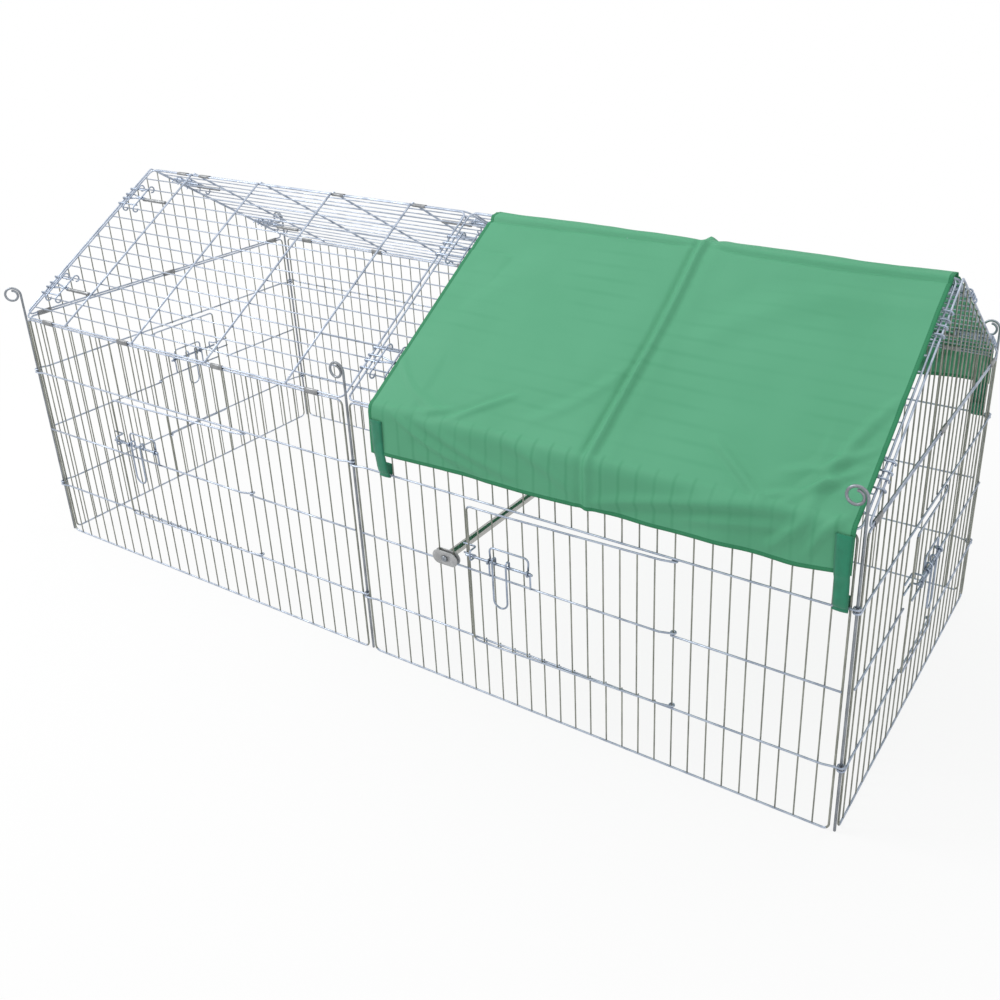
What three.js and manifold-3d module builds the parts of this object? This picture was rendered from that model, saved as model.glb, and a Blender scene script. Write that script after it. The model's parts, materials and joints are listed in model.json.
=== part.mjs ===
// Outdoor rabbit run, 180 x 75 x 75 cm: two bays of wire mesh panels with a pitched mesh roof, held by six
// corner rods, with four hinged doors, twelve sliding roof hooks, a cross tube and a shade cover on one bay.
// Millimetres. X runs along the run, the front faces -Y, and Z is up.
import * as THREE from 'three';
import { mergeVertices } from 'three/addons/utils/BufferGeometryUtils.js';
import Module from 'manifold-3d';

const wasm = await Module();
wasm.setup();

// ---- Sizes of the run ----
const bayLength = 894; // from rod axis to rod axis
const runDepth = 738; // from the front rods' axes to the back rods'
const wallTop = 503.2; // height of a wall's top wire
const ridgeHeight = 746.5; // height of the two ridge wires
const railLow = 119; // height of the lowest long wire
const railMid = 253;
const railHigh = 387;

// ---- Wires, by diameter ----
const frameWire = 3.5;
const railWire = 3.5;
const meshWire = 2.5;
const roofBar = 4;
const hookWire = 3;
const latchWire = 3.25;
const boltWire = 4.5;
const cornerRod = 4.5;

// ---- Mesh and frames ----
const meshPitch = 29.5;
const meshEdge = 20; // least room from a frame's side to its first mesh wire
const frameCorner = 12; // bend radius of a frame's corner
const rodToFrame = 8.6; // from a rod's axis to the nearest frame wire
const rodToRoof = 5.2; // from a rod's axis along the run to the roof frame's side
const sleevePitch = 5; // between the two wires that a sleeve clip holds
const gableCorner = 4;
const gableEdge = 40; // least room from a gable's corner to its first mesh wire
const eyeRise = 2.9; // how far the eyes stacked on one rod stand above or below their rail

// ---- Clearances ----
const runGap = 0.3; // round a piece that turns or slides
const weldSink = 0.2; // how deep one welded wire is pressed into another

// ---- Sleeve clips ----
const clipLength = 26; // fits between two mesh wires
const clipWall = 0.8;
const eaveClipGaps = [2, 10]; // gaps between mesh wires that hold a clip, counted from both sides
const gableClipGaps = [1, 12];
const ridgeClips = [100, 170, 562, 770]; // from the roof's left side

// ---- Corner rods ----
const rodFoot = 1; // height of a rod's foot
const scrollHeight = 555; // where a rod's scroll begins
const scrollRadius = 16;
const scrollPitch = 5.6; // how much the scroll closes in one turn
const scrollTurns = 1.25;

// ---- Doors ----
const latchPost = 8; // mesh wire that carries the keeper
const frontHingePost = 21; // mesh wire that a front door hangs on
const endHingePost = 15;
const frontDoorEdge = 9; // front door's side, past the keeper's wire
const endDoorEdge = 24.5;
const doorTopDrop = 13; // door's top bar below the high rail
const doorFoot = 4; // door's bottom bar below the low rail
const doorMidRise = 4.5; // door's middle bar above the middle rail
const doorCorner = 8;

// ---- Door latch, along the wall from the door's side and up from its middle bar ----
const boltRise = 31;
const boltLength = 132;
const keeperReach = 12;
const keeperTop = 42;
const keeperFoot = 24;
const keeperTail = 5; // past the keeper's wire
const bracketStart = 46;
const bracketEnd = 123;
const bracketTop = 56;
const handleStart = 57;
const handleWidth = 27;
const handleDrop = 54; // handle's foot below the middle bar

// ---- Roof hooks, in from the roof's side and along the slope ----
const hookBarFirst = 17;
const hookBarSecond = 50;
const prongInner = 6;
const prongOuter = 22;
const gripStart = 38;
const gripEnd = 121;
const hookTurn = 145; // degrees that a hook wraps its neighbour's wire

// ---- Roof cross bars ----
const roofBarFirst = 133.5;
const roofBarStep = 206;

// ---- Cross tube ----
const tubeDiameter = 15;
const tubeWall = 1.2;
const tubePlug = 12; // depth of the threaded plug in each end
const tubeRise = 6; // above the middle rail
const tubePost = 6; // the tube stands midway from this mesh wire to the next
const plateLength = 52;
const plateHeight = 26;
const plateThick = 2;
const screwDiameter = 6;
const screwHeadDiameter = 11;
const screwHeadHeight = 3.5;
const screwDepth = 10; // into the tube

// ---- Shade cover ----
const coverStart = 62; // from the middle rods' line
const coverEndRoom = 8; // short of the right rods' line
const coverThick = 1.6;
const coverLift = 9.3; // above the roof's wires
const ridgeEase = 30; // how far from the ridge the cover rounds over
const flapDropLeft = 79;
const flapDropRight = 65;
const flapOut = 12; // flap's stand-off from the wall
const creaseAt = 486;
const creaseHeight = 9;
const creaseWidth = 13;
const seamSag = 2.5;
const seamDrop = 20; // slack seam below the ridge
const hemWave = 4;
const hemWaves = 7;

// ---- Straps ----
const strapWidth = 22;
const strapThick = 1.6;
const strapPostLeft = 2; // the left strap passes between this mesh wire and the next
const strapTuck = 30; // how far it runs up behind the flap
const strapTail = 14; // end standing up behind the high rail

// ---- Derived places ----
const half = (diameter) => (diameter * Math.sqrt(Math.PI)) / 4; // square of the same area
const frameHalf = half(frameWire);
const railHalf = half(railWire);
const meshHalf = half(meshWire);
const latchHalf = half(latchWire);
const hookHalf = half(hookWire);
const deg = Math.PI / 180;

const railOut = frameHalf + railHalf - weldSink; // rails lie outside the wall's mesh
const eyeRound = (radius, halfWire, step) => (radius + runGap + halfWire) / Math.cos((step * deg) / 2);
const rodEyeRadius = eyeRound(cornerRod / 2, railHalf, 72);
const rodIn = rodEyeRadius - railOut; // rods stand inside the wall's plane
const wallPlane = runDepth / 2 + rodIn; // front and back walls
const endPlane = bayLength + rodIn; // end walls and gables
const eaveHeight = wallTop + sleevePitch;
const ridgeHalf = sleevePitch / 2;
const slopeRise = ridgeHeight - eaveHeight;
const slopeRun = wallPlane - ridgeHalf;
const slopeAngle = Math.atan2(slopeRise, slopeRun);
const slopeLength = Math.hypot(slopeRise, slopeRun);
const roofLength = bayLength - 2 * rodToRoof;
const coverEnd = bayLength - coverEndRoom;
const tilted = frameHalf * (Math.cos(slopeAngle) + Math.sin(slopeAngle));
const clipRoom = tilted + runGap;

const doorOut = railOut + railHalf + runGap + frameHalf; // door's frame lies over the low rail
const doorBarOut = doorOut + frameHalf + railHalf - weldSink;
const bracketOut = doorBarOut + railHalf + latchHalf - weldSink;
const handleEye = eyeRound(boltWire / 2, latchHalf, 72);
const hingeEye = eyeRound(meshHalf * Math.SQRT2, frameHalf, 93);
const eyeHalf = boltWire / 2 + runGap; // of the bracket's square eyes
const boltOut = bracketOut + eyeHalf + latchHalf;
const keeperOut = meshHalf + latchHalf - weldSink;
const keeperTip = boltOut + boltWire / 2 + runGap + latchHalf;
const doorMid = railMid + doorMidRise;
const boltHeight = doorMid + boltRise;

const prongOut = eyeRound(frameHalf * Math.SQRT2, hookHalf, hookTurn / 2);
const hookBarOut = prongOut + 2 * hookHalf - weldSink;
const gripBore = meshHalf + 2 * runGap;
const gripOuter = prongOut - hookHalf + weldSink;
const roofBarOut = frameHalf + half(roofBar) - weldSink / 2;

// ---- Finishes ----
const finish = (color, metalness, roughness) => new THREE.MeshStandardMaterial({ color, metalness, roughness });
const zinc = finish(0x9ba6b2, 0.85, 0.42);
const zincDark = finish(0x7f8a96, 0.85, 0.45);
const zincBright = finish(0xb4bfcb, 0.9, 0.34);
const cloth = finish(0x5aa97c, 0, 0.85);
const webbing = finish(0x1c8a60, 0, 0.8);

// ---- Solids ----
// A wire's centre line: the extrusion steps exactly from bend to bend.
class WirePath extends THREE.Curve {
  constructor(points) {
    super();
    this.points = points;
  }

  index(u) {
    return Math.round(u * (this.points.length - 1));
  }

  getPointAt(u) {
    return this.points[this.index(u)].clone();
  }

  getTangentAt(u) {
    const i = this.index(u);
    const last = this.points.length - 1;
    const into = this.points[i].clone().sub(this.points[Math.max(i - 1, 0)]).normalize();
    const outOf = this.points[Math.min(i + 1, last)].clone().sub(this.points[i]).normalize();
    return into.add(outOf).normalize();
  }
}

function solidOf(geometry) {
  const bare = geometry.clone();
  bare.deleteAttribute('normal');
  bare.deleteAttribute('uv');
  const merged = mergeVertices(bare, 1e-4);
  const vertProperties = new Float32Array(merged.attributes.position.array);
  const triVerts = new Uint32Array(merged.index.array);
  return new wasm.Manifold(new wasm.Mesh({ numProp: 3, vertProperties, triVerts }));
}

function geometryOf(solid) {
  const mesh = solid.getMesh();
  const geometry = new THREE.BufferGeometry();
  geometry.setAttribute('position', new THREE.BufferAttribute(mesh.vertProperties, 3));
  geometry.setIndex(new THREE.BufferAttribute(mesh.triVerts, 1));
  const flat = geometry.toNonIndexed();
  flat.computeVertexNormals();
  return flat;
}

const join = (solids) => solids.reduce((whole, solid) => whole.add(solid));

function squareSection(a) {
  return [[-a, -a], [a, -a], [a, a], [-a, a]].map(([x, y]) => new THREE.Vector2(x, y));
}

function roundSection(radius, sides) {
  const turn = Math.PI / sides;
  return Array.from({ length: sides }, (_, i) => {
    const a = turn + (i * 2 * Math.PI) / sides;
    return new THREE.Vector2(radius * Math.cos(a), radius * Math.sin(a));
  });
}

function sweep(section, points) {
  const extrudePath = new WirePath(points);
  const options = { steps: points.length - 1, bevelEnabled: false, extrudePath };
  return solidOf(new THREE.ExtrudeGeometry(new THREE.Shape(section), options));
}

const wire = (points, diameter) => sweep(squareSection(half(diameter)), points);

// A point on a wall: along it, out from its mesh, and up.
const at = (u, out, z) => new THREE.Vector3(u, -out, z);

function arc(cx, cy, radius, from, to, steps) {
  return Array.from({ length: steps + 1 }, (_, i) => {
    const a = (from + ((to - from) * i) / steps) * deg;
    return [cx + radius * Math.cos(a), cy + radius * Math.sin(a)];
  });
}

// The centre line of a closed frame, bent round each of its corners.
function bentLoop(corners, radius, steps) {
  const loop = [];
  corners.forEach((corner, i) => {
    const before = corners[(i + corners.length - 1) % corners.length].clone().sub(corner).normalize();
    const after = corners[(i + 1) % corners.length].clone().sub(corner).normalize();
    const angle = Math.acos(before.dot(after)) / 2;
    const toCentre = before.clone().add(after).normalize().multiplyScalar(radius / Math.sin(angle));
    const centre = corner.clone().add(toCentre);
    const start = corner.clone().addScaledVector(before, radius / Math.tan(angle)).sub(centre);
    const turn = (Math.PI - 2 * angle) / steps;
    for (let k = 0; k <= steps; k += 1) {
      loop.push(start.clone().rotateAround(new THREE.Vector2(), turn * k).add(centre));
    }
  });
  return loop;
}

function offsetLoop(loop, distance) {
  return loop.map((point, i) => {
    const into = point.clone().sub(loop[(i + loop.length - 1) % loop.length]).normalize();
    const outOf = loop[(i + 1) % loop.length].clone().sub(point).normalize();
    const normal = new THREE.Vector2(into.y + outOf.y, -into.x - outOf.x).normalize();
    const stretch = Math.sqrt((1 + into.dot(outOf)) / 2);
    return point.clone().addScaledVector(normal, distance / stretch);
  });
}

// A closed frame bent from one wire, in the XY plane and centred on it.
function frameRing(corners, radius) {
  const loop = radius > 0 ? bentLoop(corners, radius, 1) : corners;
  const shape = new THREE.Shape(offsetLoop(loop, frameHalf));
  shape.holes.push(new THREE.Path(offsetLoop(loop, -frameHalf)));
  const geometry = new THREE.ExtrudeGeometry(shape, { depth: 2 * frameHalf, bevelEnabled: false });
  geometry.translate(0, 0, -frameHalf);
  return geometry;
}

const corner = (x, y) => new THREE.Vector2(x, y);

// Mesh wires across a frame, even and centred.
function meshPlaces(width) {
  const count = Math.floor((width - 2 * meshEdge) / meshPitch) + 1;
  const first = (width - (count - 1) * meshPitch) / 2;
  return Array.from({ length: count }, (_, i) => first + i * meshPitch);
}

// ---- Sleeve clips ----
// A flattened sleeve along X: the near wire at y = 0 is gripped, and the far wire turns in it.
function sleeveClip(nearEdge) {
  const near = -nearEdge;
  const far = sleevePitch + clipRoom;
  const box = (x0, x1, y) => [corner(x0, -y), corner(x1, -y), corner(x1, y), corner(x0, y)];
  const shape = new THREE.Shape(box(near - clipWall, far + clipWall, clipRoom + clipWall));
  shape.holes.push(new THREE.Path(box(near, far, clipRoom)));
  const geometry = new THREE.ExtrudeGeometry(shape, { depth: clipLength, bevelEnabled: false });
  geometry.translate(0, 0, -clipLength / 2);
  geometry.rotateX(Math.PI / 2);
  geometry.rotateZ(Math.PI / 2);
  return geometry;
}

function eaveClip(u) {
  const geometry = sleeveClip(frameHalf - weldSink / 2);
  geometry.rotateX(Math.PI / 2);
  geometry.translate(u, 0, wallTop);
  return solidOf(geometry);
}

// ---- Walls ----
// A wall is drawn from one rod axis to the next, seen from outside, with its mesh in the plane y = 0.
const postAt = (span, number) => rodToFrame + meshPlaces(span - 2 * rodToFrame)[number - 1];

function eyedRail(span, z) {
  const left = arc(0, -rodIn, rodEyeRadius, 378, 90, 4).map(([u, o]) => at(u, o, z - eyeRise));
  const right = arc(span, -rodIn, rodEyeRadius, 90, -198, 4).map(([u, o]) => at(u, o, z + eyeRise));
  const level = [at(rodToFrame, railOut, z), at(span - rodToFrame, railOut, z)];
  return wire([...left, ...level, ...right], railWire);
}

const plainRail = (from, to, z) => wire([at(from, railOut, z), at(to, railOut, z)], railWire);

function keeper(span, edge) {
  const post = postAt(span, latchPost);
  const reach = post + edge + keeperReach;
  const side = (z) => [at(post - keeperTail, keeperOut, z), at(reach, keeperOut, z), at(reach, keeperTip, z)];
  return wire([...side(doorMid + keeperTop), ...side(doorMid + keeperFoot).reverse()], latchWire);
}

function wallPanel(span, door, clips) {
  const right = span - rodToFrame;
  const ring = frameRing([
    corner(rodToFrame, frameHalf), corner(right, frameHalf),
    corner(right, wallTop), corner(rodToFrame, wallTop),
  ], frameCorner);
  ring.rotateX(Math.PI / 2);
  const parts = [solidOf(ring)];
  const upright = (u, from, to) => parts.push(wire([at(u, 0, from), at(u, 0, to)], meshWire));
  meshPlaces(span - 2 * rodToFrame).forEach((place, i) => {
    const u = rodToFrame + place;
    if (door && i + 1 > latchPost && i + 1 < door.hingePost) {
      upright(u, frameHalf, railLow + railHalf);
      upright(u, railHigh - railHalf, wallTop);
    } else {
      upright(u, frameHalf, wallTop);
    }
  });
  parts.push(eyedRail(span, railLow), eyedRail(span, railHigh));
  const tip = rodToFrame;
  if (door) {
    parts.push(plainRail(tip, postAt(span, latchPost) + railWire, railMid));
    parts.push(plainRail(postAt(span, door.hingePost) - railWire, span - tip, railMid));
    parts.push(keeper(span, door.edge));
  } else {
    parts.push(plainRail(tip, span - tip, railMid));
  }
  const posts = meshPlaces(span - 2 * rodToFrame).length;
  const gaps = new Set(clips.flatMap((gap) => [gap, posts - gap]));
  gaps.forEach((gap) => parts.push(eaveClip(postAt(span, gap) + meshPitch / 2)));
  return join(parts);
}

// ---- Doors ----
function doorBar(from, hinge, out, z) {
  const eye = arc(hinge, 0, hingeEye, 90, -189, 3).map(([u, o]) => at(u, o, z));
  return [at(from, out, z), at(hinge - 4 * hingeEye, out, z), ...eye];
}

function doorPanel(span, door) {
  const side = postAt(span, latchPost) + door.edge;
  const hinge = postAt(span, door.hingePost);
  const top = railHigh - doorTopDrop;
  const foot = railLow - doorFoot;
  const bend = doorCorner;
  const upper = doorBar(side + bend, hinge, doorOut, top);
  const lower = doorBar(side + bend, hinge, doorOut, foot).reverse();
  const sides = [at(side, doorOut, foot + bend), at(side, doorOut, top - bend)];
  const parts = [wire([...lower, ...sides, ...upper], frameWire)];
  parts.push(wire(doorBar(side, hinge, doorBarOut, doorMid), railWire));
  meshPlaces(span - 2 * rodToFrame).forEach((place, i) => {
    const u = rodToFrame + place;
    if (i + 1 > latchPost && i + 1 < door.hingePost && u - side > meshPitch / 2) {
      parts.push(wire([at(u, doorOut, foot), at(u, doorOut, top)], meshWire));
    }
  });
  const ends = [side + bracketStart, side + bracketEnd];
  const outline = (grow) => [
    corner(ends[0] - grow, doorMid - grow), corner(ends[1] + grow, doorMid - grow),
    corner(ends[1] + grow, doorMid + bracketTop + grow), corner(ends[0] - grow, doorMid + bracketTop + grow),
  ];
  const shape = new THREE.Shape(outline(latchHalf));
  shape.holes.push(new THREE.Path(outline(-latchHalf)));
  const bracket = new THREE.ExtrudeGeometry(shape, { depth: 2 * latchHalf, bevelEnabled: false });
  bracket.rotateX(Math.PI / 2);
  bracket.translate(0, latchHalf - bracketOut, 0);
  parts.push(solidOf(bracket));
  const eye = new THREE.Shape(squareSection(eyeHalf + 2 * latchHalf));
  eye.holes.push(new THREE.Path(squareSection(eyeHalf)));
  ends.forEach((u) => {
    const ring = new THREE.ExtrudeGeometry(eye, { depth: 2 * latchHalf, bevelEnabled: false });
    ring.rotateY(Math.PI / 2);
    ring.translate(u - latchHalf, -boltOut, boltHeight);
    parts.push(solidOf(ring));
  });
  return join(parts);
}

function boltPiece(span, door) {
  const start = postAt(span, latchPost) + door.edge;
  const ends = [at(start, boltOut, boltHeight), at(start + boltLength, boltOut, boltHeight)];
  return sweep(roundSection(boltWire / 2, 8), ends);
}

function handlePiece(span, door) {
  const start = postAt(span, latchPost) + door.edge + handleStart;
  const end = start + handleWidth;
  const out = boltOut + handleEye;
  const low = doorMid - handleDrop;
  const radius = handleWidth / 2;
  const curl = (u) => arc(boltOut, boltHeight, handleEye, 216, 0, 3).map(([o, z]) => at(u, o, z));
  const foot = arc(start + radius, low + radius, radius, 180, 360, 3).map(([u, z]) => at(u, out, z));
  return wire([...curl(start), ...foot, ...curl(end).reverse()], latchWire);
}

// ---- Gables ----
function gablePanel() {
  const mid = runDepth / 2;
  const peak = eaveHeight + wallPlane * Math.tan(slopeAngle);
  const ring = frameRing([
    corner(mid - wallPlane, eaveHeight), corner(mid + wallPlane, eaveHeight), corner(mid, peak),
  ], gableCorner);
  ring.rotateX(Math.PI / 2);
  const parts = [solidOf(ring)];
  for (let v = meshPitch / 2; v < wallPlane - gableEdge - meshPitch / 2; v += meshPitch) {
    const top = peak - v * Math.tan(slopeAngle);
    parts.push(wire([at(mid - v, 0, eaveHeight), at(mid - v, 0, top)], meshWire));
    parts.push(wire([at(mid + v, 0, eaveHeight), at(mid + v, 0, top)], meshWire));
  }
  return join(parts);
}

// ---- Roof ----
// A slope is drawn flat: x along the run from its left side, y up the slope from its eave wire, z outward.
const inRoof = (x, y, z) => new THREE.Vector3(x, y, z);

function roofPanel(withClips) {
  const parts = [solidOf(frameRing([
    corner(0, 0), corner(roofLength, 0), corner(roofLength, slopeLength), corner(0, slopeLength),
  ], 0))];
  meshPlaces(slopeLength).forEach((y) => {
    parts.push(wire([inRoof(0, y, 0), inRoof(roofLength, y, 0)], meshWire));
  });
  for (let x = roofBarFirst; x < roofLength - roofBarFirst / 2; x += roofBarStep) {
    parts.push(wire([inRoof(x, 0, roofBarOut), inRoof(x, slopeLength, roofBarOut)], roofBar));
  }
  if (withClips) {
    ridgeClips.forEach((x) => {
      const geometry = sleeveClip(tilted - 2 * weldSink);
      geometry.rotateX(-slopeAngle);
      geometry.translate(x, slopeLength, 0);
      parts.push(solidOf(geometry));
    });
  }
  return join(parts);
}

// A hook is drawn with the roof's side wire at x = 0, the roof towards +x, and its middle wire at y = 0.
function roofHook(reach) {
  const bar = (x) => {
    const curl = arc(meshPitch, 0, hookBarOut, 90, -130, 2);
    const right = curl.map(([y, z]) => inRoof(x, y, z));
    const left = curl.map(([y, z]) => inRoof(x, -y, z)).reverse();
    return wire([...left, ...right], hookWire);
  };
  const claw = arc(-reach, 0, prongOut, 90 + hookTurn, 90, 2);
  const clawAt = (y) => claw.map(([x, z]) => inRoof(x, y, z));
  const parts = [bar(hookBarFirst), bar(hookBarSecond)];
  [-prongOuter, prongOuter].forEach((y) => {
    parts.push(wire([...clawAt(y), inRoof(hookBarSecond, y, prongOut)], hookWire));
  });
  const inner = (y) => [...clawAt(y), inRoof(gripStart + hookWire, y, prongOut)];
  parts.push(wire([...inner(prongInner), ...inner(-prongInner).reverse()], hookWire));
  const shape = new THREE.Shape(squareSection(gripOuter));
  shape.holes.push(new THREE.Path(squareSection(gripBore)));
  const grip = new THREE.ExtrudeGeometry(shape, { depth: gripEnd - gripStart, bevelEnabled: false });
  grip.rotateY(Math.PI / 2);
  grip.translate(gripStart, 0, 0);
  parts.push(solidOf(grip));
  return join(parts);
}

// ---- Corner rods ----
function rodPiece() {
  const points = [new THREE.Vector3(0, 0, rodFoot), new THREE.Vector3(0, 0, scrollHeight)];
  const steps = Math.round(scrollTurns * 7);
  for (let i = 1; i <= steps; i += 1) {
    const turn = (scrollTurns * i) / steps;
    const radius = scrollRadius - scrollPitch * turn;
    const a = 2 * Math.PI * turn;
    points.push(new THREE.Vector3(radius * Math.cos(a) - scrollRadius, 0, scrollHeight + radius * Math.sin(a)));
  }
  return sweep(roundSection(cornerRod / 2, 5), points);
}

// ---- Cross tube ----
const screwRoom = screwDiameter / 2 + runGap;
const plateInnerOut = -(meshHalf + runGap + plateThick);
const plateOuterOut = railOut + railHalf + runGap;
const tubeHalf = wallPlane + plateInnerOut - runGap;

function crossTube() {
  const outer = tubeDiameter / 2;
  const bore = outer - tubeWall;
  const hole = screwRoom / Math.cos(Math.PI / 8);
  const deep = tubeHalf - tubePlug;
  const profile = [
    [outer, -tubeHalf], [outer, tubeHalf], [hole, tubeHalf], [hole, deep], [bore, deep],
    [bore, -deep], [hole, -deep], [hole, -tubeHalf], [outer, -tubeHalf],
  ].map(([x, y]) => corner(x, y));
  return solidOf(new THREE.LatheGeometry(profile, 8));
}

// A plate lies in the wall's plane with its face towards the outside, from z = 0 up.
function tubePlate() {
  const radius = plateHeight / 2;
  const arm = plateLength / 2 - radius;
  const shape = new THREE.Shape();
  shape.absarc(arm, 0, radius, -Math.PI / 2, Math.PI / 2, false);
  shape.absarc(-arm, 0, radius, Math.PI / 2, (3 * Math.PI) / 2, false);
  shape.holes.push(new THREE.Path(roundSection(screwRoom / Math.cos(Math.PI / 8), 8)));
  return solidOf(new THREE.ExtrudeGeometry(shape, { depth: plateThick, bevelEnabled: false, curveSegments: 2 }));
}

function tubeScrew() {
  const shank = plateOuterOut + plateThick - plateInnerOut + 2 * runGap + screwDepth;
  const head = screwHeadDiameter / 2;
  const profile = [
    [0, -shank], [screwDiameter / 2, -shank], [screwDiameter / 2, 0], [head, 0],
    [head, screwHeadHeight * 0.6], [head * 0.6, screwHeadHeight], [0, screwHeadHeight],
  ].map(([x, y]) => corner(x, y));
  return solidOf(new THREE.LatheGeometry(profile, 8));
}

// ---- Shade cover ----
const flapTop = eaveHeight;
const flapFace = wallPlane + flapOut;
const bump = (x, width) => Math.exp(-((x / width) ** 2));

// Rows across the cover from the ridge down one side: how far down the slope, and how far down the flap.
const slopeRows = [0, ridgeEase / 2, ridgeEase * 1.6, slopeLength * 0.5, slopeLength];
const flapRows = [0.02, 0.5, 1];

const creaseRise = (x) => creaseHeight * (bump(x - creaseAt, creaseWidth) + 0.3 * bump(x - creaseAt - 40, 26));

function coverHeight(x, down) {
  const sag = seamSag * bump(down - seamDrop, seamDrop / 2);
  return creaseRise(x) + seamSag - sag * (1 - bump(x - creaseAt, 90));
}

function coverRow(side, row, x) {
  const lengthwise = (x - coverStart) / (coverEnd - coverStart);
  if (row < slopeRows.length) {
    const down = slopeRows[row];
    const ease = Math.max(0, 1 - down / ridgeEase);
    const lift = coverLift + coverHeight(x, down) - ease * ease * ridgeEase * 0.12;
    const y = -down * Math.cos(slopeAngle) - lift * Math.sin(slopeAngle) * (1 - ease);
    const peak = ridgeHeight + ridgeHalf * Math.tan(slopeAngle);
    const z = peak - down * Math.sin(slopeAngle) + lift * (Math.cos(slopeAngle) * (1 - ease) + ease);
    return new THREE.Vector3(x, side * y, z);
  }
  const part = flapRows[row - slopeRows.length];
  const drop = (flapDropLeft + (flapDropRight - flapDropLeft) * lengthwise ** 2) * part;
  const wave = Math.sin(lengthwise * Math.PI) * part * hemWave * (1 + Math.sin(lengthwise * 2 * Math.PI * hemWaves));
  const crease = creaseRise(x) * (1 - part * 0.5);
  return new THREE.Vector3(x, -side * (flapFace + wave * 0.5 + crease), flapTop - drop);
}

function coverColumns() {
  const nearCrease = [-1.8, -0.6, 0.6, 1.8].map((k) => creaseAt + k * creaseWidth);
  const columns = [];
  const reach = nearCrease[0];
  const beyond = nearCrease[nearCrease.length - 1];
  for (let i = 0; i < 5; i += 1) columns.push(coverStart + ((reach - coverStart) * i) / 5);
  columns.push(...nearCrease);
  for (let i = 1; i <= 5; i += 1) columns.push(beyond + ((coverEnd - beyond) * i) / 5);
  return columns;
}

// The cover as a thin closed sheet: its middle surface, thickened by half its cloth on both sides.
function coverPiece() {
  const rows = slopeRows.length + flapRows.length;
  const columns = coverColumns();
  const across = 2 * rows - 1;
  const grid = columns.map((x) => Array.from({ length: across }, (_, j) => {
    const row = j - (rows - 1);
    return coverRow(row < 0 ? 1 : -1, Math.abs(row), x).multiply(new THREE.Vector3(1, -1, 1));
  }));
  const clampTo = (value, last) => Math.min(Math.max(value, 0), last);
  const normalAt = (i, j) => {
    const line = (a, b) => grid[clampTo(a, columns.length - 1)][clampTo(b, across - 1)];
    const along = line(i + 1, j).clone().sub(line(i - 1, j));
    const over = line(i, j + 1).clone().sub(line(i, j - 1));
    return along.cross(over).normalize();
  };
  const positions = [];
  const index = [];
  const id = (i, j, under) => (under ? columns.length * across : 0) + i * across + j;
  [1, -1].forEach((sign) => grid.forEach((line, i) => line.forEach((point, j) => {
    const place = point.clone().addScaledVector(normalAt(i, j), (sign * coverThick) / 2);
    positions.push(place.x, place.y, place.z);
  })));
  const quad = (a, b, c, d) => index.push(a, b, c, a, c, d);
  for (let i = 0; i + 1 < columns.length; i += 1) {
    for (let j = 0; j + 1 < across; j += 1) {
      quad(id(i, j), id(i + 1, j), id(i + 1, j + 1), id(i, j + 1));
      quad(id(i, j, true), id(i, j + 1, true), id(i + 1, j + 1, true), id(i + 1, j, true));
    }
    quad(id(i, 0), id(i, 0, true), id(i + 1, 0, true), id(i + 1, 0));
    quad(id(i, across - 1), id(i + 1, across - 1), id(i + 1, across - 1, true), id(i, across - 1, true));
  }
  const last = columns.length - 1;
  for (let j = 0; j + 1 < across; j += 1) {
    quad(id(0, j), id(0, j + 1), id(0, j + 1, true), id(0, j, true));
    quad(id(last, j), id(last, j, true), id(last, j + 1, true), id(last, j + 1));
  }
  const geometry = new THREE.BufferGeometry();
  geometry.setAttribute('position', new THREE.Float32BufferAttribute(positions, 3));
  geometry.setIndex(index);
  return solidOf(geometry);
}

// A strap runs down behind the flap and under the high rail, with its tail standing up behind the rail.
function strapPiece(u, drop) {
  const loop = railHalf + runGap + strapThick;
  const tucked = flapOut - coverThick / 2 - runGap - strapThick / 2;
  const hem = flapTop - drop;
  const line = [[tucked, hem + strapTuck], [tucked, hem]];
  const under = arc(railOut, railHigh, loop, 0, -180, 3);
  const tail = [[railOut - loop, railHigh + strapTail]];
  const points = [...line, ...under, ...tail].map(([o, z]) => at(u, o, z));
  const w = strapWidth / 2;
  const t = strapThick / 2;
  const flat = [[-t, -w], [t, -w], [t, w], [-t, w]].map(([x, y]) => corner(x, y));
  return sweep(flat, points);
}

// ---- Assembly ----
const run = new THREE.Group();

function place(parent, name, solid, material) {
  const mesh = new THREE.Mesh(geometryOf(solid), material.clone());
  mesh.name = name;
  parent.add(mesh);
  return mesh;
}

function groupAt(parent, x, y, z, turn = 0) {
  const group = new THREE.Group();
  group.position.set(x, y, z);
  group.rotation.z = turn * deg;
  parent.add(group);
  return group;
}

function addDoor(wall, span, door, name) {
  place(wall, `door_${name}`, doorPanel(span, door), zinc);
  place(wall, `bolt_${name}`, boltPiece(span, door), zincBright);
  place(wall, `handle_${name}`, handlePiece(span, door), zincBright);
}

const frontDoor = { hingePost: frontHingePost, edge: frontDoorEdge };
const endDoor = { hingePost: endHingePost, edge: endDoorEdge };

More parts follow.
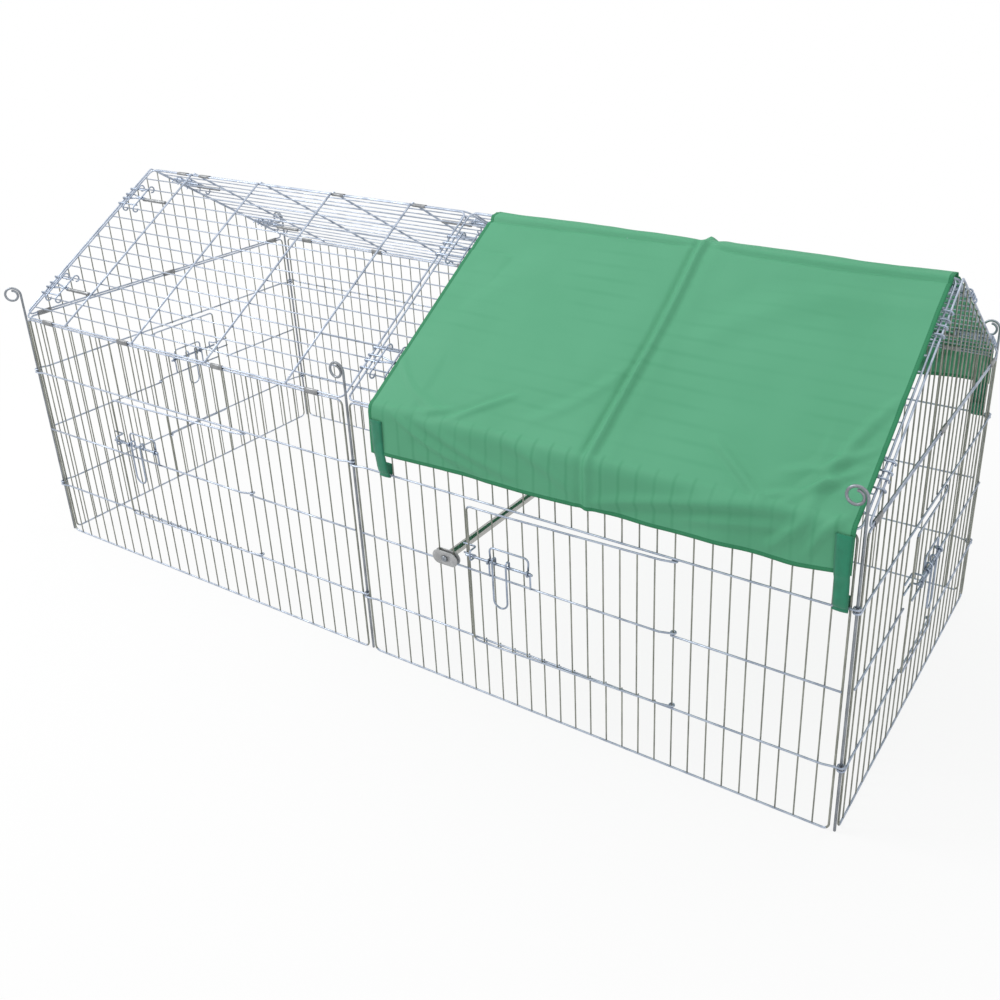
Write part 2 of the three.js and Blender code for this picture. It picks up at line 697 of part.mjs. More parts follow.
// Front and back: the back is the front turned half round, without its doors.
[['front', 0], ['back', 180]].forEach(([name, turn]) => {
  const side = groupAt(run, 0, 0, 0, turn);
  const sideNames = turn ? ['right', 'left'] : ['left', 'right'];
  const slopes = sideNames.map((bay, i) => {
    const start = (i - 1) * bayLength;
    const wall = groupAt(side, start, -wallPlane, 0);
    place(wall, `wall_${name}_${bay}`, wallPanel(bayLength, turn ? null : frontDoor, eaveClipGaps), zinc);
    if (!turn) addDoor(wall, bayLength, frontDoor, `${name}_${bay}`);
    const slope = groupAt(side, start + rodToRoof, -wallPlane, eaveHeight);
    slope.rotation.x = slopeAngle;
    place(slope, `roof_${name}_${bay}`, roofPanel(!turn), zinc);
    return slope;
  });
  const rows = meshPlaces(slopeLength);
  const heights = [['lower', rows[2]], ['upper', rows[rows.length - 3]]];
  const gableReach = rodToRoof + rodIn;
  const hooks = [
    [`${name}_${sideNames[0]}`, slopes[0], 0, 0, gableReach], [`${name}_middle`, slopes[1], 0, 0, 2 * rodToRoof],
    [`${name}_${sideNames[1]}`, slopes[1], roofLength, 180, gableReach],
  ];
  hooks.forEach(([label, slope, x, half2, reach]) => heights.forEach(([level, y]) => {
    place(groupAt(slope, x, y, 0, half2), `hook_${label}_${level}`, roofHook(reach), zincBright);
  }));
});

// The two ends, each a wall with a door under a gable.
[['right', 1, 90], ['left', -1, 270]].forEach(([name, sign, turn]) => {
  const end = groupAt(run, sign * endPlane, (-sign * runDepth) / 2, 0, turn);
  place(end, `end_wall_${name}`, wallPanel(runDepth, endDoor, gableClipGaps), zinc);
  place(end, `gable_${name}`, gablePanel(), zinc);
  addDoor(end, runDepth, endDoor, `end_${name}`);
});

// The rods' scrolls face along the run, and the front left one faces out from its corner.
[['left', -1], ['middle', 0], ['right', 1]].forEach(([name, sign]) => {
  [['front', -1], ['back', 1]].forEach(([side, way]) => {
    const turn = name === 'left' && side === 'front' ? 45 : 0;
    const stand = groupAt(run, sign * bayLength, (way * runDepth) / 2, 0, turn);
    place(stand, `rod_${side}_${name}`, rodPiece(), zincDark);
  });
});

// The cross tube between the front and back walls of the right bay.
const tubeX = (postAt(bayLength, tubePost) + postAt(bayLength, tubePost + 1)) / 2;
const tubeZ = railMid + tubeRise;
place(groupAt(run, tubeX, 0, tubeZ), 'cross_tube', crossTube(), zincBright);
[['front', -1], ['back', 1]].forEach(([name, way]) => {
  const facing = way < 0 ? Math.PI / 2 : -Math.PI / 2;
  const fit = (label, solid, out, material) => {
    const mesh = place(run, label, solid, material);
    mesh.position.set(tubeX, way * (wallPlane + out), tubeZ);
    return mesh;
  };
  fit(`plate_${name}_inner`, tubePlate(), plateInnerOut, zincBright).rotation.x = facing;
  fit(`plate_${name}_outer`, tubePlate(), plateOuterOut, zincBright).rotation.x = facing;
  const screwOut = plateOuterOut + plateThick + runGap;
  fit(`screw_${name}`, tubeScrew(), screwOut, zincDark).rotation.x = way < 0 ? Math.PI : 0;
});

// The shade cover and its four straps.
place(run, 'shade_cover', coverPiece(), cloth);
const strapLeftX = (postAt(bayLength, strapPostLeft) + postAt(bayLength, strapPostLeft + 1)) / 2;
const lastPost = meshPlaces(bayLength - 2 * rodToFrame).length;
const lastGap = bayLength - rodToFrame - postAt(bayLength, lastPost);
const strapFits = lastGap > strapWidth + meshHalf + frameHalf + 2 * runGap;
const strapRightX = postAt(bayLength, lastPost) + (strapFits ? lastGap : -meshPitch) / 2;
const leftFront = groupAt(run, 0, -wallPlane, 0);
const rightBack = groupAt(run, bayLength, wallPlane, 0, 180);
place(leftFront, 'strap_front_left', strapPiece(strapLeftX, flapDropLeft), webbing);
place(leftFront, 'strap_front_right', strapPiece(strapRightX, flapDropRight), webbing);
place(rightBack, 'strap_back_left', strapPiece(bayLength - strapLeftX, flapDropLeft), webbing);
place(rightBack, 'strap_back_right', strapPiece(bayLength - strapRightX, flapDropRight), webbing);

// The origin is on the ground under the middle of the whole run.
run.updateMatrixWorld(true);
const whole = new THREE.Box3().setFromObject(run, true);
run.position.set(-(whole.min.x + whole.max.x) / 2, -(whole.min.y + whole.max.y) / 2, -whole.min.z);

export default run;
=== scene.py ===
"""Outdoor rabbit run: two bays of welded wire mesh under a pitched roof, with a shade cover on one bay.

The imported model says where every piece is. This script draws the same wires round and bent, drapes the cover,
and gives each piece its finish. Lengths are in metres, X runs along the run, the front faces -Y, and Z is up.
"""

from __future__ import annotations

import json
import logging
import math
from dataclasses import dataclass, field
from enum import Enum
from typing import Iterable, Sequence

import bpy
import numpy as np
from mathutils import Matrix, Quaternion, Vector, noise

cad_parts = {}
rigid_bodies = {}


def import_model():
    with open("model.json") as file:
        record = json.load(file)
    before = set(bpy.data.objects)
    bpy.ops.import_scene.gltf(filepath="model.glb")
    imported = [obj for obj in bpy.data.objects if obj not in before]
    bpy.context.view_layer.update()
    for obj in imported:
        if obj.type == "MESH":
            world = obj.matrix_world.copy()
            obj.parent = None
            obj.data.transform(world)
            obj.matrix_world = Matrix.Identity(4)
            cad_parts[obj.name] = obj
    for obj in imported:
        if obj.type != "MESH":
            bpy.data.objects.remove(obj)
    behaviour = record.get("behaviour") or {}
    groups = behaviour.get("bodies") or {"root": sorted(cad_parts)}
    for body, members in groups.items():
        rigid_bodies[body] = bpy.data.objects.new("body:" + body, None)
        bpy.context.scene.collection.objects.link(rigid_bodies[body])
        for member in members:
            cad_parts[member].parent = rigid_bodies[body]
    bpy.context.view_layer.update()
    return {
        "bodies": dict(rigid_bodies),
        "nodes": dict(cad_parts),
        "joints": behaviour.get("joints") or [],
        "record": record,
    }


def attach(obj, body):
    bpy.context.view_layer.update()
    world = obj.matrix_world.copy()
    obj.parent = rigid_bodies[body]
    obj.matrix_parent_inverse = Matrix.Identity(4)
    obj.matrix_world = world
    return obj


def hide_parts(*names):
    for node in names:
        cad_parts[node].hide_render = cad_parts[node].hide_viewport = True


log = logging.getLogger("rabbit_run")

Colour = tuple[float, float, float, float]
Path = list[Vector]

# Shares of a wire's radius: how far its end is rounded over, and the flat that is left there.
END_BEVEL = 0.45
END_TIP = 0.62
# Radius of a weld's bead, as a share of the mesh wire's diameter.
WELD = 0.64


def srgb(red: int, green: int, blue: int) -> Colour:
    """Turns a colour as it is seen, 0 to 255, into a shader's colour."""
    def linear(value: int) -> float:
        share = value / 255
        return share / 12.92 if share <= 0.04045 else ((share + 0.055) / 1.055) ** 2.4
    return (linear(red), linear(green), linear(blue), 1.0)


# ---- Shaders ----
class Value:
    """One output of a shader's nodes: sums and products of values add Math nodes."""

    def __init__(self, shader: Shader, socket: bpy.types.NodeSocket) -> None:
        """Wraps a socket of that shader."""
        self.shader = shader
        self.socket = socket

    def math(self, operation: str, *others: Value | float) -> Value:
        """Adds one Math node.

        Args:
            operation: The node's operation.
            others: Its second and third number, as values or plain numbers.

        Returns:
            The node's result.
        """
        sockets = dict(enumerate((self, *others)))
        return self.shader.node("ShaderNodeMath", {"operation": operation}, sockets)

    def __add__(self, other: Value | float) -> Value:
        """Adds a value or a number."""
        return self.math("ADD", other)

    def __sub__(self, other: Value | float) -> Value:
        """Takes a value or a number away."""
        return self.math("SUBTRACT", other)

    def __rsub__(self, other: float) -> Value:
        """Takes this value away from a number."""
        return self.math("MULTIPLY", -1.0) + other

    def __mul__(self, other: Value | float) -> Value:
        """Multiplies by a value or a number."""
        return self.math("MULTIPLY", other)

    def __truediv__(self, other: float) -> Value:
        """Divides by a number."""
        return self.math("MULTIPLY", 1.0 / other)

    def rise(self, low: float, high: float) -> Value:
        """Goes smoothly from 0 at low to 1 at high.

        Args:
            low: Where the rise starts.
            high: Where it ends; below low it falls instead.

        Returns:
            The share, from 0 to 1.
        """
        settings = {"interpolation_type": "SMOOTHSTEP"}
        if low < high:
            return self.shader.node("ShaderNodeMapRange", settings, {0: self, 1: low, 2: high})
        return self.shader.node("ShaderNodeMapRange", settings, {0: self, 1: high, 2: low, 3: 1.0, 4: 0.0})

    def line(self, pitch: float, first: float, width: float) -> Value:
        """Marks evenly spaced lines.

        Args:
            pitch: From one line to the next.
            first: Where a line lies.
            width: Half the width over which a line fades.

        Returns:
            1 on a line, falling to 0 beside it.
        """
        turns = (self - first) / pitch
        away = (turns - turns.math("ROUND")).math("ABSOLUTE")
        return away.rise(width / pitch, 0.0)

    def wave(self, pitch: float) -> Value:
        """A sine of this value with that pitch."""
        return (self * (2 * math.pi / pitch)).math("SINE")


class Shader:
    """A node tree and the one method that adds its nodes."""

    def __init__(self, tree: bpy.types.NodeTree) -> None:
        """Starts from an empty tree."""
        self.tree = tree
        tree.nodes.clear()

    def node(self, kind: str, settings: dict[str, object] | None = None,
             sockets: dict[str | int, object] | None = None, output: int | str = 0) -> Value:
        """Adds one node.

        Args:
            kind: The node's type.
            settings: Its own settings, such as an operation, set before its sockets.
            sockets: A value or a plain number, colour or vector for each named socket.
            output: The output that is used on.

        Returns:
            That output.
        """
        made = self.tree.nodes.new(kind)
        for name, setting in (settings or {}).items():
            setattr(made, name, setting)
        for name, given in (sockets or {}).items():
            if isinstance(given, Value):
                self.tree.links.new(given.socket, made.inputs[name])
            else:
                made.inputs[name].default_value = given
        return Value(self, made.outputs[output]) if made.outputs else Value(self, made.inputs[0])

    def mix(self, share: Value | float, first: object, second: object) -> Value:
        """Mixes two colours.

        Args:
            share: How much of the second one shows.
            first: A colour or a value.
            second: The other colour or value.

        Returns:
            The mixed colour.
        """
        return self.node("ShaderNodeMix", {"data_type": "RGBA"}, {0: share, 6: first, 7: second}, 2)

    def cloud(self, place: Value, scale: float, detail: float = 2.0) -> Value:
        """Noise of that scale, from 0 to 1."""
        return self.node("ShaderNodeTexNoise", {}, {"Vector": place, "Scale": scale, "Detail": detail})

    def bump(self, height: Value, strength: float, distance: float) -> Value:
        """A normal that follows a height of that distance."""
        sockets = {"Height": height, "Strength": strength, "Distance": distance}
        return self.node("ShaderNodeBump", {}, sockets)


class Finish:
    """A finish that makes its material once."""

    name: str

    def paint(self, shader: Shader) -> Value:
        """Adds the finish's nodes and returns its surface."""
        raise NotImplementedError

    def material(self) -> bpy.types.Material:
        """The finish's material, made at its first use."""
        made = bpy.data.materials.get(self.name)
        if made is None:
            made = bpy.data.materials.new(self.name)
            made.use_nodes = True
            shader = Shader(made.node_tree)
            shader.node("ShaderNodeOutputMaterial", {}, {"Surface": self.paint(shader)})
        return made


@dataclass(frozen=True)
class Zinc(Finish):
    """Drawn steel wire under a coat of zinc: cloudy, with bright drawn streaks and small beads."""

    name: str
    colour: Colour
    dull: Colour
    roughness: float = 0.36
    metallic: float = 0.8
    cloud_scale: float = 38.0
    grain_scale: float = 900.0
    relief: float = 0.00012

    def paint(self, shader: Shader) -> Value:
        """Adds the coat's clouds, grain and relief."""
        place = shader.node("ShaderNodeTexCoord", output="Object")
        clouds = shader.cloud(place, self.cloud_scale, 3.0).rise(0.35, 0.68)
        grain = shader.cloud(place, self.grain_scale, 1.0)
        colour = shader.mix(clouds * 0.75, self.colour, self.dull)
        colour = shader.mix(grain.rise(0.58, 0.72) * 0.25, colour, (0.9, 0.93, 0.97, 1.0))
        rough = clouds * 0.16 + grain * 0.08 + (self.roughness - 0.08)
        coat = grain * 0.4 + shader.cloud(place, 260.0) * 0.6
        return shader.node("ShaderNodeBsdfPrincipled", {}, {
            "Base Color": colour, "Metallic": self.metallic, "Roughness": rough,
            "Normal": shader.bump(coat, 0.35, self.relief)})


@dataclass(frozen=True)
class Chrome(Finish):
    """Bright plated steel with fine scratches."""

    name: str
    colour: Colour
    roughness: float = 0.16
    metallic: float = 1.0

    def paint(self, shader: Shader) -> Value:
        """Adds the plating's smears and scratches."""
        place = shader.node("ShaderNodeTexCoord", output="Object")
        smears = shader.cloud(place, 60.0, 3.0)
        scratches = shader.cloud(place, 700.0, 4.0).rise(0.6, 0.75)
        colour = shader.mix(smears * 0.3, self.colour, (0.42, 0.42, 0.42, 1.0))
        rough = smears * 0.14 + scratches * 0.15 + (self.roughness - 0.05)
        return shader.node("ShaderNodeBsdfPrincipled", {}, {
            "Base Color": colour, "Metallic": self.metallic, "Roughness": rough,
            "Normal": shader.bump(scratches, 0.12, 0.00005)})


@dataclass(frozen=True)
class Canvas(Finish):
    """The cover's coated plain weave: folded hems, a row of stitches, and painted shade lines where wires lie
    under the slopes and inside the flaps.
    """

    name: str
    colour: Colour
    shade: Colour
    hem: Colour
    thread: float = 0.0011
    hem_width: float = 0.0075
    wire_pitch: float = 0.0295
    roof_first: float = 0.0277
    slope_end: float = 0.434
    wall_first: float = 0.034
    roof_shade_width: float = 0.0075
    wall_shade_width: float = 0.0048
    stitch_pitch: float = 0.004
    stitch_length: float = 0.0016
    stitch_width: float = 0.0007
    stitch_colour: Colour = (0.006, 0.09, 0.04, 1.0)
    thinness: float = 0.22

    def paint(self, shader: Shader) -> Value:
        """Adds the weave, the hems with their stitches, and the painted shade lines of the wires, which also
        press a small ridge into the relief.
        """
        cut = shader.node("ShaderNodeUVMap", {"uv_map": "cut"})
        along = shader.node("ShaderNodeSeparateXYZ", {}, {0: cut}, 0)
        down = shader.node("ShaderNodeSeparateXYZ", {}, {0: cut}, 1)
        rim = shader.node("ShaderNodeUVMap", {"uv_map": "rim"})
        side = shader.node("ShaderNodeSeparateXYZ", {}, {0: rim}, 0)
        foot = shader.node("ShaderNodeSeparateXYZ", {}, {0: rim}, 1)
        place = shader.node("ShaderNodeTexCoord", output="Object")

        edge = side.math("MINIMUM", foot)
        hem = edge.rise(self.hem_width, self.hem_width * 0.8)
        seam = edge.line(1.0, self.hem_width * 0.75, self.stitch_width)
        stitch = seam * (along + down).line(self.stitch_pitch, 0.0, self.stitch_length)
        clouds = shader.cloud(place, 7.0, 3.0)
        on_slope = down.rise(self.slope_end + 0.008, self.slope_end - 0.004)
        broken = shader.cloud(place, 6.0, 2.0).rise(0.36, 0.72)
        # Painted shade: the wires under the slopes and inside the flaps darken the cloth in lines, mixed
        # towards the hem's darker green; the same mask also lifts a small real ridge in the bump.
        through = down.line(self.wire_pitch, self.roof_first, self.roof_shade_width) * on_slope
        wall_wire_shade = along.line(self.wire_pitch, self.wall_first, self.wall_shade_width) * (1 - on_slope)
        wires = through * broken * 0.13 + wall_wire_shade * (broken * 0.2 + 0.08)
        colour = shader.mix(clouds.rise(0.3, 0.75) * 0.4, self.colour, self.shade)
        colour = shader.mix(wires, colour, self.hem)
        colour = shader.mix(hem * 0.85, colour, self.hem)
        colour = shader.mix(stitch * 0.8, colour, self.stitch_colour)
        threads = along.wave(self.thread) * down.wave(self.thread)
        relief = threads * 0.25 + hem * 1.6 - stitch * 1.2 + wires * 0.6
        rough = clouds * 0.12 + 0.56
        weave = shader.bump(relief, 0.45, 0.0003)
        front = shader.node("ShaderNodeBsdfPrincipled", {}, {
            "Base Color": colour, "Roughness": rough, "Specular IOR Level": 0.35, "Normal": weave})
        through_light = shader.node("ShaderNodeBsdfTranslucent", {}, {"Color": colour, "Normal": weave})
        return shader.node("ShaderNodeMixShader", {}, {0: self.thinness, 1: front, 2: through_light})


@dataclass(frozen=True)
class Webbing(Finish):
    """Woven strap tape with ribs across and a stitched border."""

    name: str
    colour: Colour
    shade: Colour
    rib: float = 0.0016

    def paint(self, shader: Shader) -> Value:
        """Adds the ribs and the tape's uneven dye."""
        cut = shader.node("ShaderNodeUVMap", {"uv_map": "cut"})
        along = shader.node("ShaderNodeSeparateXYZ", {}, {0: cut}, 0)
        across = shader.node("ShaderNodeSeparateXYZ", {}, {0: cut}, 1)
        place = shader.node("ShaderNodeTexCoord", output="Object")
        ribs = along.wave(self.rib) * 0.6 + across.wave(self.rib * 0.7) * 0.4
        border = across.math("ABSOLUTE").rise(0.0085, 0.0105)
        clouds = shader.cloud(place, 45.0, 3.0)
        colour = shader.mix(clouds.rise(0.35, 0.7) * 0.5, self.colour, self.shade)
        colour = shader.mix(border * 0.5, colour, self.shade)
        return shader.node("ShaderNodeBsdfPrincipled", {}, {
            "Base Color": colour, "Roughness": clouds * 0.1 + 0.66, "Sheen Weight": 0.2,
            "Normal": shader.bump(ribs + border, 0.5, 0.0003)})


@dataclass(frozen=True)
class PaleFloor(Finish):
    """White paper that keeps a soft shadow near the run and turns wholly white farther off."""

    name: str
    paper: Colour = (0.9, 0.9, 0.9, 1.0)
    glow: float = 0.86
    shadow_end: float = 1.1
    white_from: float = 2.4

    def paint(self, shader: Shader) -> Value:
        """Adds the paper, whiter to the camera and in reflections."""
        place = shader.node("ShaderNodeTexCoord", output="Object")
        away = shader.node("ShaderNodeVectorMath", {"operation": "LENGTH"}, {0: place}, "Value")
        glow = away.rise(self.shadow_end, self.white_from) * (1.0 - self.glow) + self.glow
        paper = shader.node("ShaderNodeBsdfDiffuse", {}, {"Color": self.paper})
        white = shader.node("ShaderNodeEmission", {}, {"Color": (1.0, 1.0, 1.0, 1.0), "Strength": 1.0})
        return shader.node("ShaderNodeMixShader", {}, {0: seen_directly(shader) * glow, 1: paper, 2: white})


def seen_directly(shader: Shader) -> Value:
    """1 for rays from the camera, reflections and glass, and 0 for the light that falls on things."""
    rays = [shader.node("ShaderNodeLightPath", output=name)
            for name in ("Is Camera Ray", "Is Glossy Ray", "Is Transmission Ray")]
    return rays[0].math("MAXIMUM", rays[1]).math("MAXIMUM", rays[2])


class Coat(Enum):
    """The finishes of the run."""

    # The level wires' zinc is a lighter, bluer copy of the upright wires' zinc: painted sky reflection on wires
    # that lie level or on the roof, painted shade on upright ones.
    SKY_LIT = Zinc("zinc_rails", srgb(178, 188, 204), srgb(136, 147, 164), 0.36, 0.6)
    MESH = Zinc("zinc_mesh", srgb(146, 148, 138), srgb(120, 123, 114), 0.42, 0.6)
    ROD = Zinc("zinc_rods", srgb(142, 148, 156), srgb(120, 124, 128), 0.34, 0.85)
    LATCH = Zinc("zinc_latches", srgb(158, 170, 188), srgb(128, 138, 152), 0.3, 0.85)
    SLEEVE = Zinc("zinc_sleeves", srgb(150, 152, 154), srgb(120, 122, 124), 0.45, 0.75, 90.0)
    TUBE = Chrome("plated_tube", srgb(176, 176, 172), 0.14)
    PLATE = Zinc("pressed_plate", srgb(176, 177, 178), srgb(158, 159, 160), 0.48, 0.55, 70.0)
    COVER = Canvas("cover_canvas", srgb(101, 183, 142), srgb(92, 174, 132), srgb(44, 140, 94))
    STRAP = Webbing("strap_tape", srgb(18, 132, 98), srgb(10, 108, 78))
    FLOOR = PaleFloor("pale_floor")


# ---- Lines ----
def arc(centre: tuple[float, float], radius: tuple[float, float], turn: tuple[float, float],
        steps: int) -> list[tuple[float, float]]:
    """Points on an arc or a spiral in a plane.

    Args:
        centre: The two coordinates of its centre.
        radius: The radius at its start and at its end.
        turn: The angles at its start and at its end, in degrees.
        steps: How many stretches it has.

    Returns:
        The points, the first and the last included.
    """
    points = []
    for i in range(steps + 1):
        share = i / steps
        angle = math.radians(turn[0] + (turn[1] - turn[0]) * share)
        reach = radius[0] + (radius[1] - radius[0]) * share
        points.append((centre[0] + reach * math.cos(angle), centre[1] + reach * math.sin(angle)))
    return points


def rounded(points: Sequence[Vector], radius: float, closed: bool = False, steps: int = 6) -> Path:
    """Bends a wire's corners.

    Args:
        points: The corners, and the two ends of an open wire.
        radius: The bend's radius; short stretches get a smaller one.
        closed: Whether the wire closes on itself.
        steps: How many stretches each bend has.

    Returns:
        The wire's centre line.
    """
    count = len(points)
    line: Path = [] if closed else [points[0]]
    for i in range(0 if closed else 1, count if closed else count - 1):
        corner = points[i]
        before = points[i - 1] - corner
        after = points[(i + 1) % count] - corner
        half = before.angle(after) / 2
        if half > math.radians(88):
            line.append(corner)
            continue
        back = min(radius / math.tan(half), before.length * 0.45, after.length * 0.45)
        start = corner + before.normalized() * back
        end = corner + after.normalized() * back
        centre = corner + (before.normalized() + after.normalized()).normalized() * (back / math.cos(half))
        spoke = start - centre
        sweep = spoke.rotation_difference(end - centre)
        for k in range(steps + 1):
            line.append(centre + Quaternion().slerp(sweep, k / steps) @ spoke)
    if not closed:
        line.append(points[-1])
    return line


def wall_point(along: float, out: float, height: float) -> Vector:
    """A point on a wall: along it, out from its mesh, and up."""
    return Vector((along, -out, height))


# ---- Meshes ----
class Shape:
    """Wires, tapes and turned parts gathered into one mesh."""

    def __init__(self) -> None:
        """Starts empty."""
        self.points: list[np.ndarray] = []
        self.faces: list[tuple[int, ...]] = []
        self.coats: list[int] = []
        self.smooth: list[bool] = []
        self.finishes: list[Coat] = []
        self.count = 0

    def add(self, points: np.ndarray, faces: Iterable[Sequence[int]], coat: Coat,
            smooth: bool = True) -> None:
        """Adds a piece of surface.

        Args:
            points: Its points, one row each.
            faces: Its faces, as rows of point numbers.
            coat: Its finish.
            smooth: Whether it is shaded smooth.
        """
        if coat not in self.finishes:
            self.finishes.append(coat)
        index = self.finishes.index(coat)
        for face in faces:
            self.faces.append(tuple(self.count + i for i in face))
            self.coats.append(index)
            self.smooth.append(smooth)
        self.points.append(points)
        self.count += len(points)

    def rings(self, rings: list[np.ndarray], coat: Coat, closed: bool = False, caps: bool = True) -> None:
        """Skins a row of rings that have the same number of points.

        Args:
            rings: The rings, each with one row for every point.
            coat: The finish.
            closed: Whether the last ring joins the first.
            caps: Whether the ends of an open row are filled.
        """
        sides = len(rings[0])
        faces = []
        last = len(rings) if closed else len(rings) - 1
        for i in range(last):
            j = (i + 1) % len(rings)
            for k in range(sides):
                n = (k + 1) % sides
                faces.append((i * sides + k, i * sides + n, j * sides + n, j * sides + k))
        self.add(np.concatenate(rings), faces, coat)
        if caps and not closed:
            start = self.count - len(rings) * sides
            index = self.finishes.index(coat)
            ends = (tuple(start + k for k in reversed(range(sides))),
                    tuple(start + (len(rings) - 1) * sides + k for k in range(sides)))
            for face in ends:
                self.faces.append(face)
                self.coats.append(index)
                self.smooth.append(False)

    def wire(self, line: Sequence[Vector], diameter: float, coat: Coat, closed: bool = False,
             sides: int = 10, capped: bool = True) -> None:
        """Draws a round wire along a line, with its ends rounded over.

        Args:
            line: The centre line.
            diameter: The wire's diameter.
            coat: The finish.
            closed: Whether the wire closes on itself.
            sides: How many faces it has round it.
            capped: Whether an open wire's ends are its own, and not a seam in a longer wire.
        """
        path = np.array([tuple(p) for p in line])
        radius = diameter / 2
        if closed:
            ahead = np.roll(path, -1, axis=0) - np.roll(path, 1, axis=0)
        else:
            ahead = np.gradient(path, axis=0)
        ahead /= np.linalg.norm(ahead, axis=1)[:, None]
        lean = np.array((0.0, 0.0, 1.0)) if abs(ahead[0][2]) < 0.9 else np.array((1.0, 0.0, 0.0))
        side = np.cross(ahead[0], lean)
        side /= np.linalg.norm(side)
        turns = np.arange(sides) * 2 * math.pi / sides
        rings = []
        for point, way in zip(path, ahead):
            side = side - way * np.dot(side, way)
            side /= np.linalg.norm(side)
            other = np.cross(way, side)
            rings.append(point + radius * (np.outer(np.cos(turns), side) + np.outer(np.sin(turns), other)))
        if capped and not closed:
            bevel = radius * END_BEVEL
            first = path[0] + (rings[0] - path[0]) * END_TIP
            last = path[-1] + (rings[-1] - path[-1]) * END_TIP
            rings[0] = rings[0] + ahead[0] * bevel
            rings[-1] = rings[-1] - ahead[-1] * bevel
            rings = [first, *rings, last]
        self.rings(rings, coat, closed)

    def bent_frame(self, ring: Path, diameter: float) -> None:
        """Draws a closed frame bent from one wire: its level runs get the lighter zinc as painted sky
        reflection, and its upright ones the darker zinc as painted shade.

        Args:
            ring: The frame's centre line, its four bends the same.
            diameter: The wire's diameter.
        """
        bend = len(ring) // 4
        half = bend // 2
        corners = [i * bend + half for i in range(4)]
        for number, start in enumerate(corners):
            end = corners[(number + 1) % 4] + (len(ring) if number == 3 else 0)
            run = [ring[i % len(ring)] for i in range(start, end + 1)]
            level = abs(run[0].z - run[-1].z) < abs(run[0].x - run[-1].x)
            self.wire(run, diameter, Coat.SKY_LIT if level else Coat.MESH, capped=False)

    def weld(self, place: Vector, size: float, coat: Coat) -> None:
        """Adds the small bead where two wires are welded."""
        rings = []
        for height in (-0.8, 0.0, 0.8):
            reach = size * math.sqrt(1 - height * height)
            circle = arc((place.x, place.y), (reach, reach), (0, 315), 7)
            rings.append(np.array([(x, y, place.z + height * size) for x, y in circle]))
        self.rings(rings, coat)

    def turned(self, profile: Sequence[tuple[float, float]], turn: Matrix, coat: Coat,
               sides: int = 32) -> None:
        """Turns a profile round an axis.

        Args:
            profile: Radius and height of each ring, from the bottom up.
            turn: Where the axis is, its z pointing up the profile.
            coat: The finish.
            sides: How many faces it has round it.
        """
        rings = []
        for radius, height in profile:
            circle = arc((0, 0), (radius, radius), (0, 360 - 360 / sides), sides - 1)
            rings.append(np.array([tuple(turn @ Vector((x, y, height))) for x, y in circle]))
        self.rings(rings, coat)

    def sleeve(self, near: Vector, far: Vector, way: Vector, length: float, bore: float, wall: float) -> None:
        """Adds a flattened sleeve round two wires.

        Args:
            near: The middle of the sleeve on the first wire.
            far: The same on the second wire.
            way: The wires' direction.
            length: The sleeve's length.
            bore: The inner radius at each wire.
            wall: The sheet's thickness.
        """
        across = (far - near).normalized()
        up = way.cross(across).normalized()

        def outline(radius: float, at: float) -> np.ndarray:
            """The flattened ring of that radius at a place along the sleeve."""
            points = []
            for centre, start in ((near, 90), (far, -90)):
                for x, y in arc((0, 0), (radius, radius), (start, start + 180), 6):
                    points.append(tuple(centre + across * x + up * y + way * at))
            return np.array(points)

        half = length / 2
        lip = wall * 0.4
        rings = [outline(bore, -half), outline(bore + wall - lip, -half), outline(bore + wall, lip - half),
                 outline(bore + wall, half - lip), outline(bore + wall - lip, half), outline(bore, half)]
        self.rings(rings, Coat.SLEEVE, closed=True)

    def build(self, name: str, place: Matrix) -> bpy.types.Object:
        """Makes the object, with its place in its mesh.

        Args:
            name: The piece's name.
            place: Where the shape stands in the run.

        Returns:
            The new object.
        """
        points = np.concatenate(self.points)
        spread = np.concatenate([points, np.ones((len(points), 1))], axis=1) @ np.array(place).T
        mesh = bpy.data.meshes.new(name)
        mesh.from_pydata(spread[:, :3].tolist(), [], self.faces)
        mesh.polygons.foreach_set("material_index", self.coats)
        mesh.polygons.foreach_set("use_smooth", self.smooth)
        for coat in self.finishes:
            mesh.materials.append(coat.value.material())
        mesh.update()
        made = bpy.data.objects.new(name, mesh)
        bpy.context.scene.collection.objects.link(made)
        return made


# ---- Sizes ----
def square_half(diameter: float) -> float:
    """Half the side of the square that has a round wire's area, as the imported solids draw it."""
    return diameter * math.sqrt(math.pi) / 4


@dataclass(frozen=True)
class Wires:
    """Diameters of the wires."""

    frame: float = 0.0035
    rail: float = 0.0035
    mesh: float = 0.0025
    bar: float = 0.004
    hook: float = 0.003
    latch: float = 0.00325
    bolt: float = 0.0045
    rod: float = 0.0045


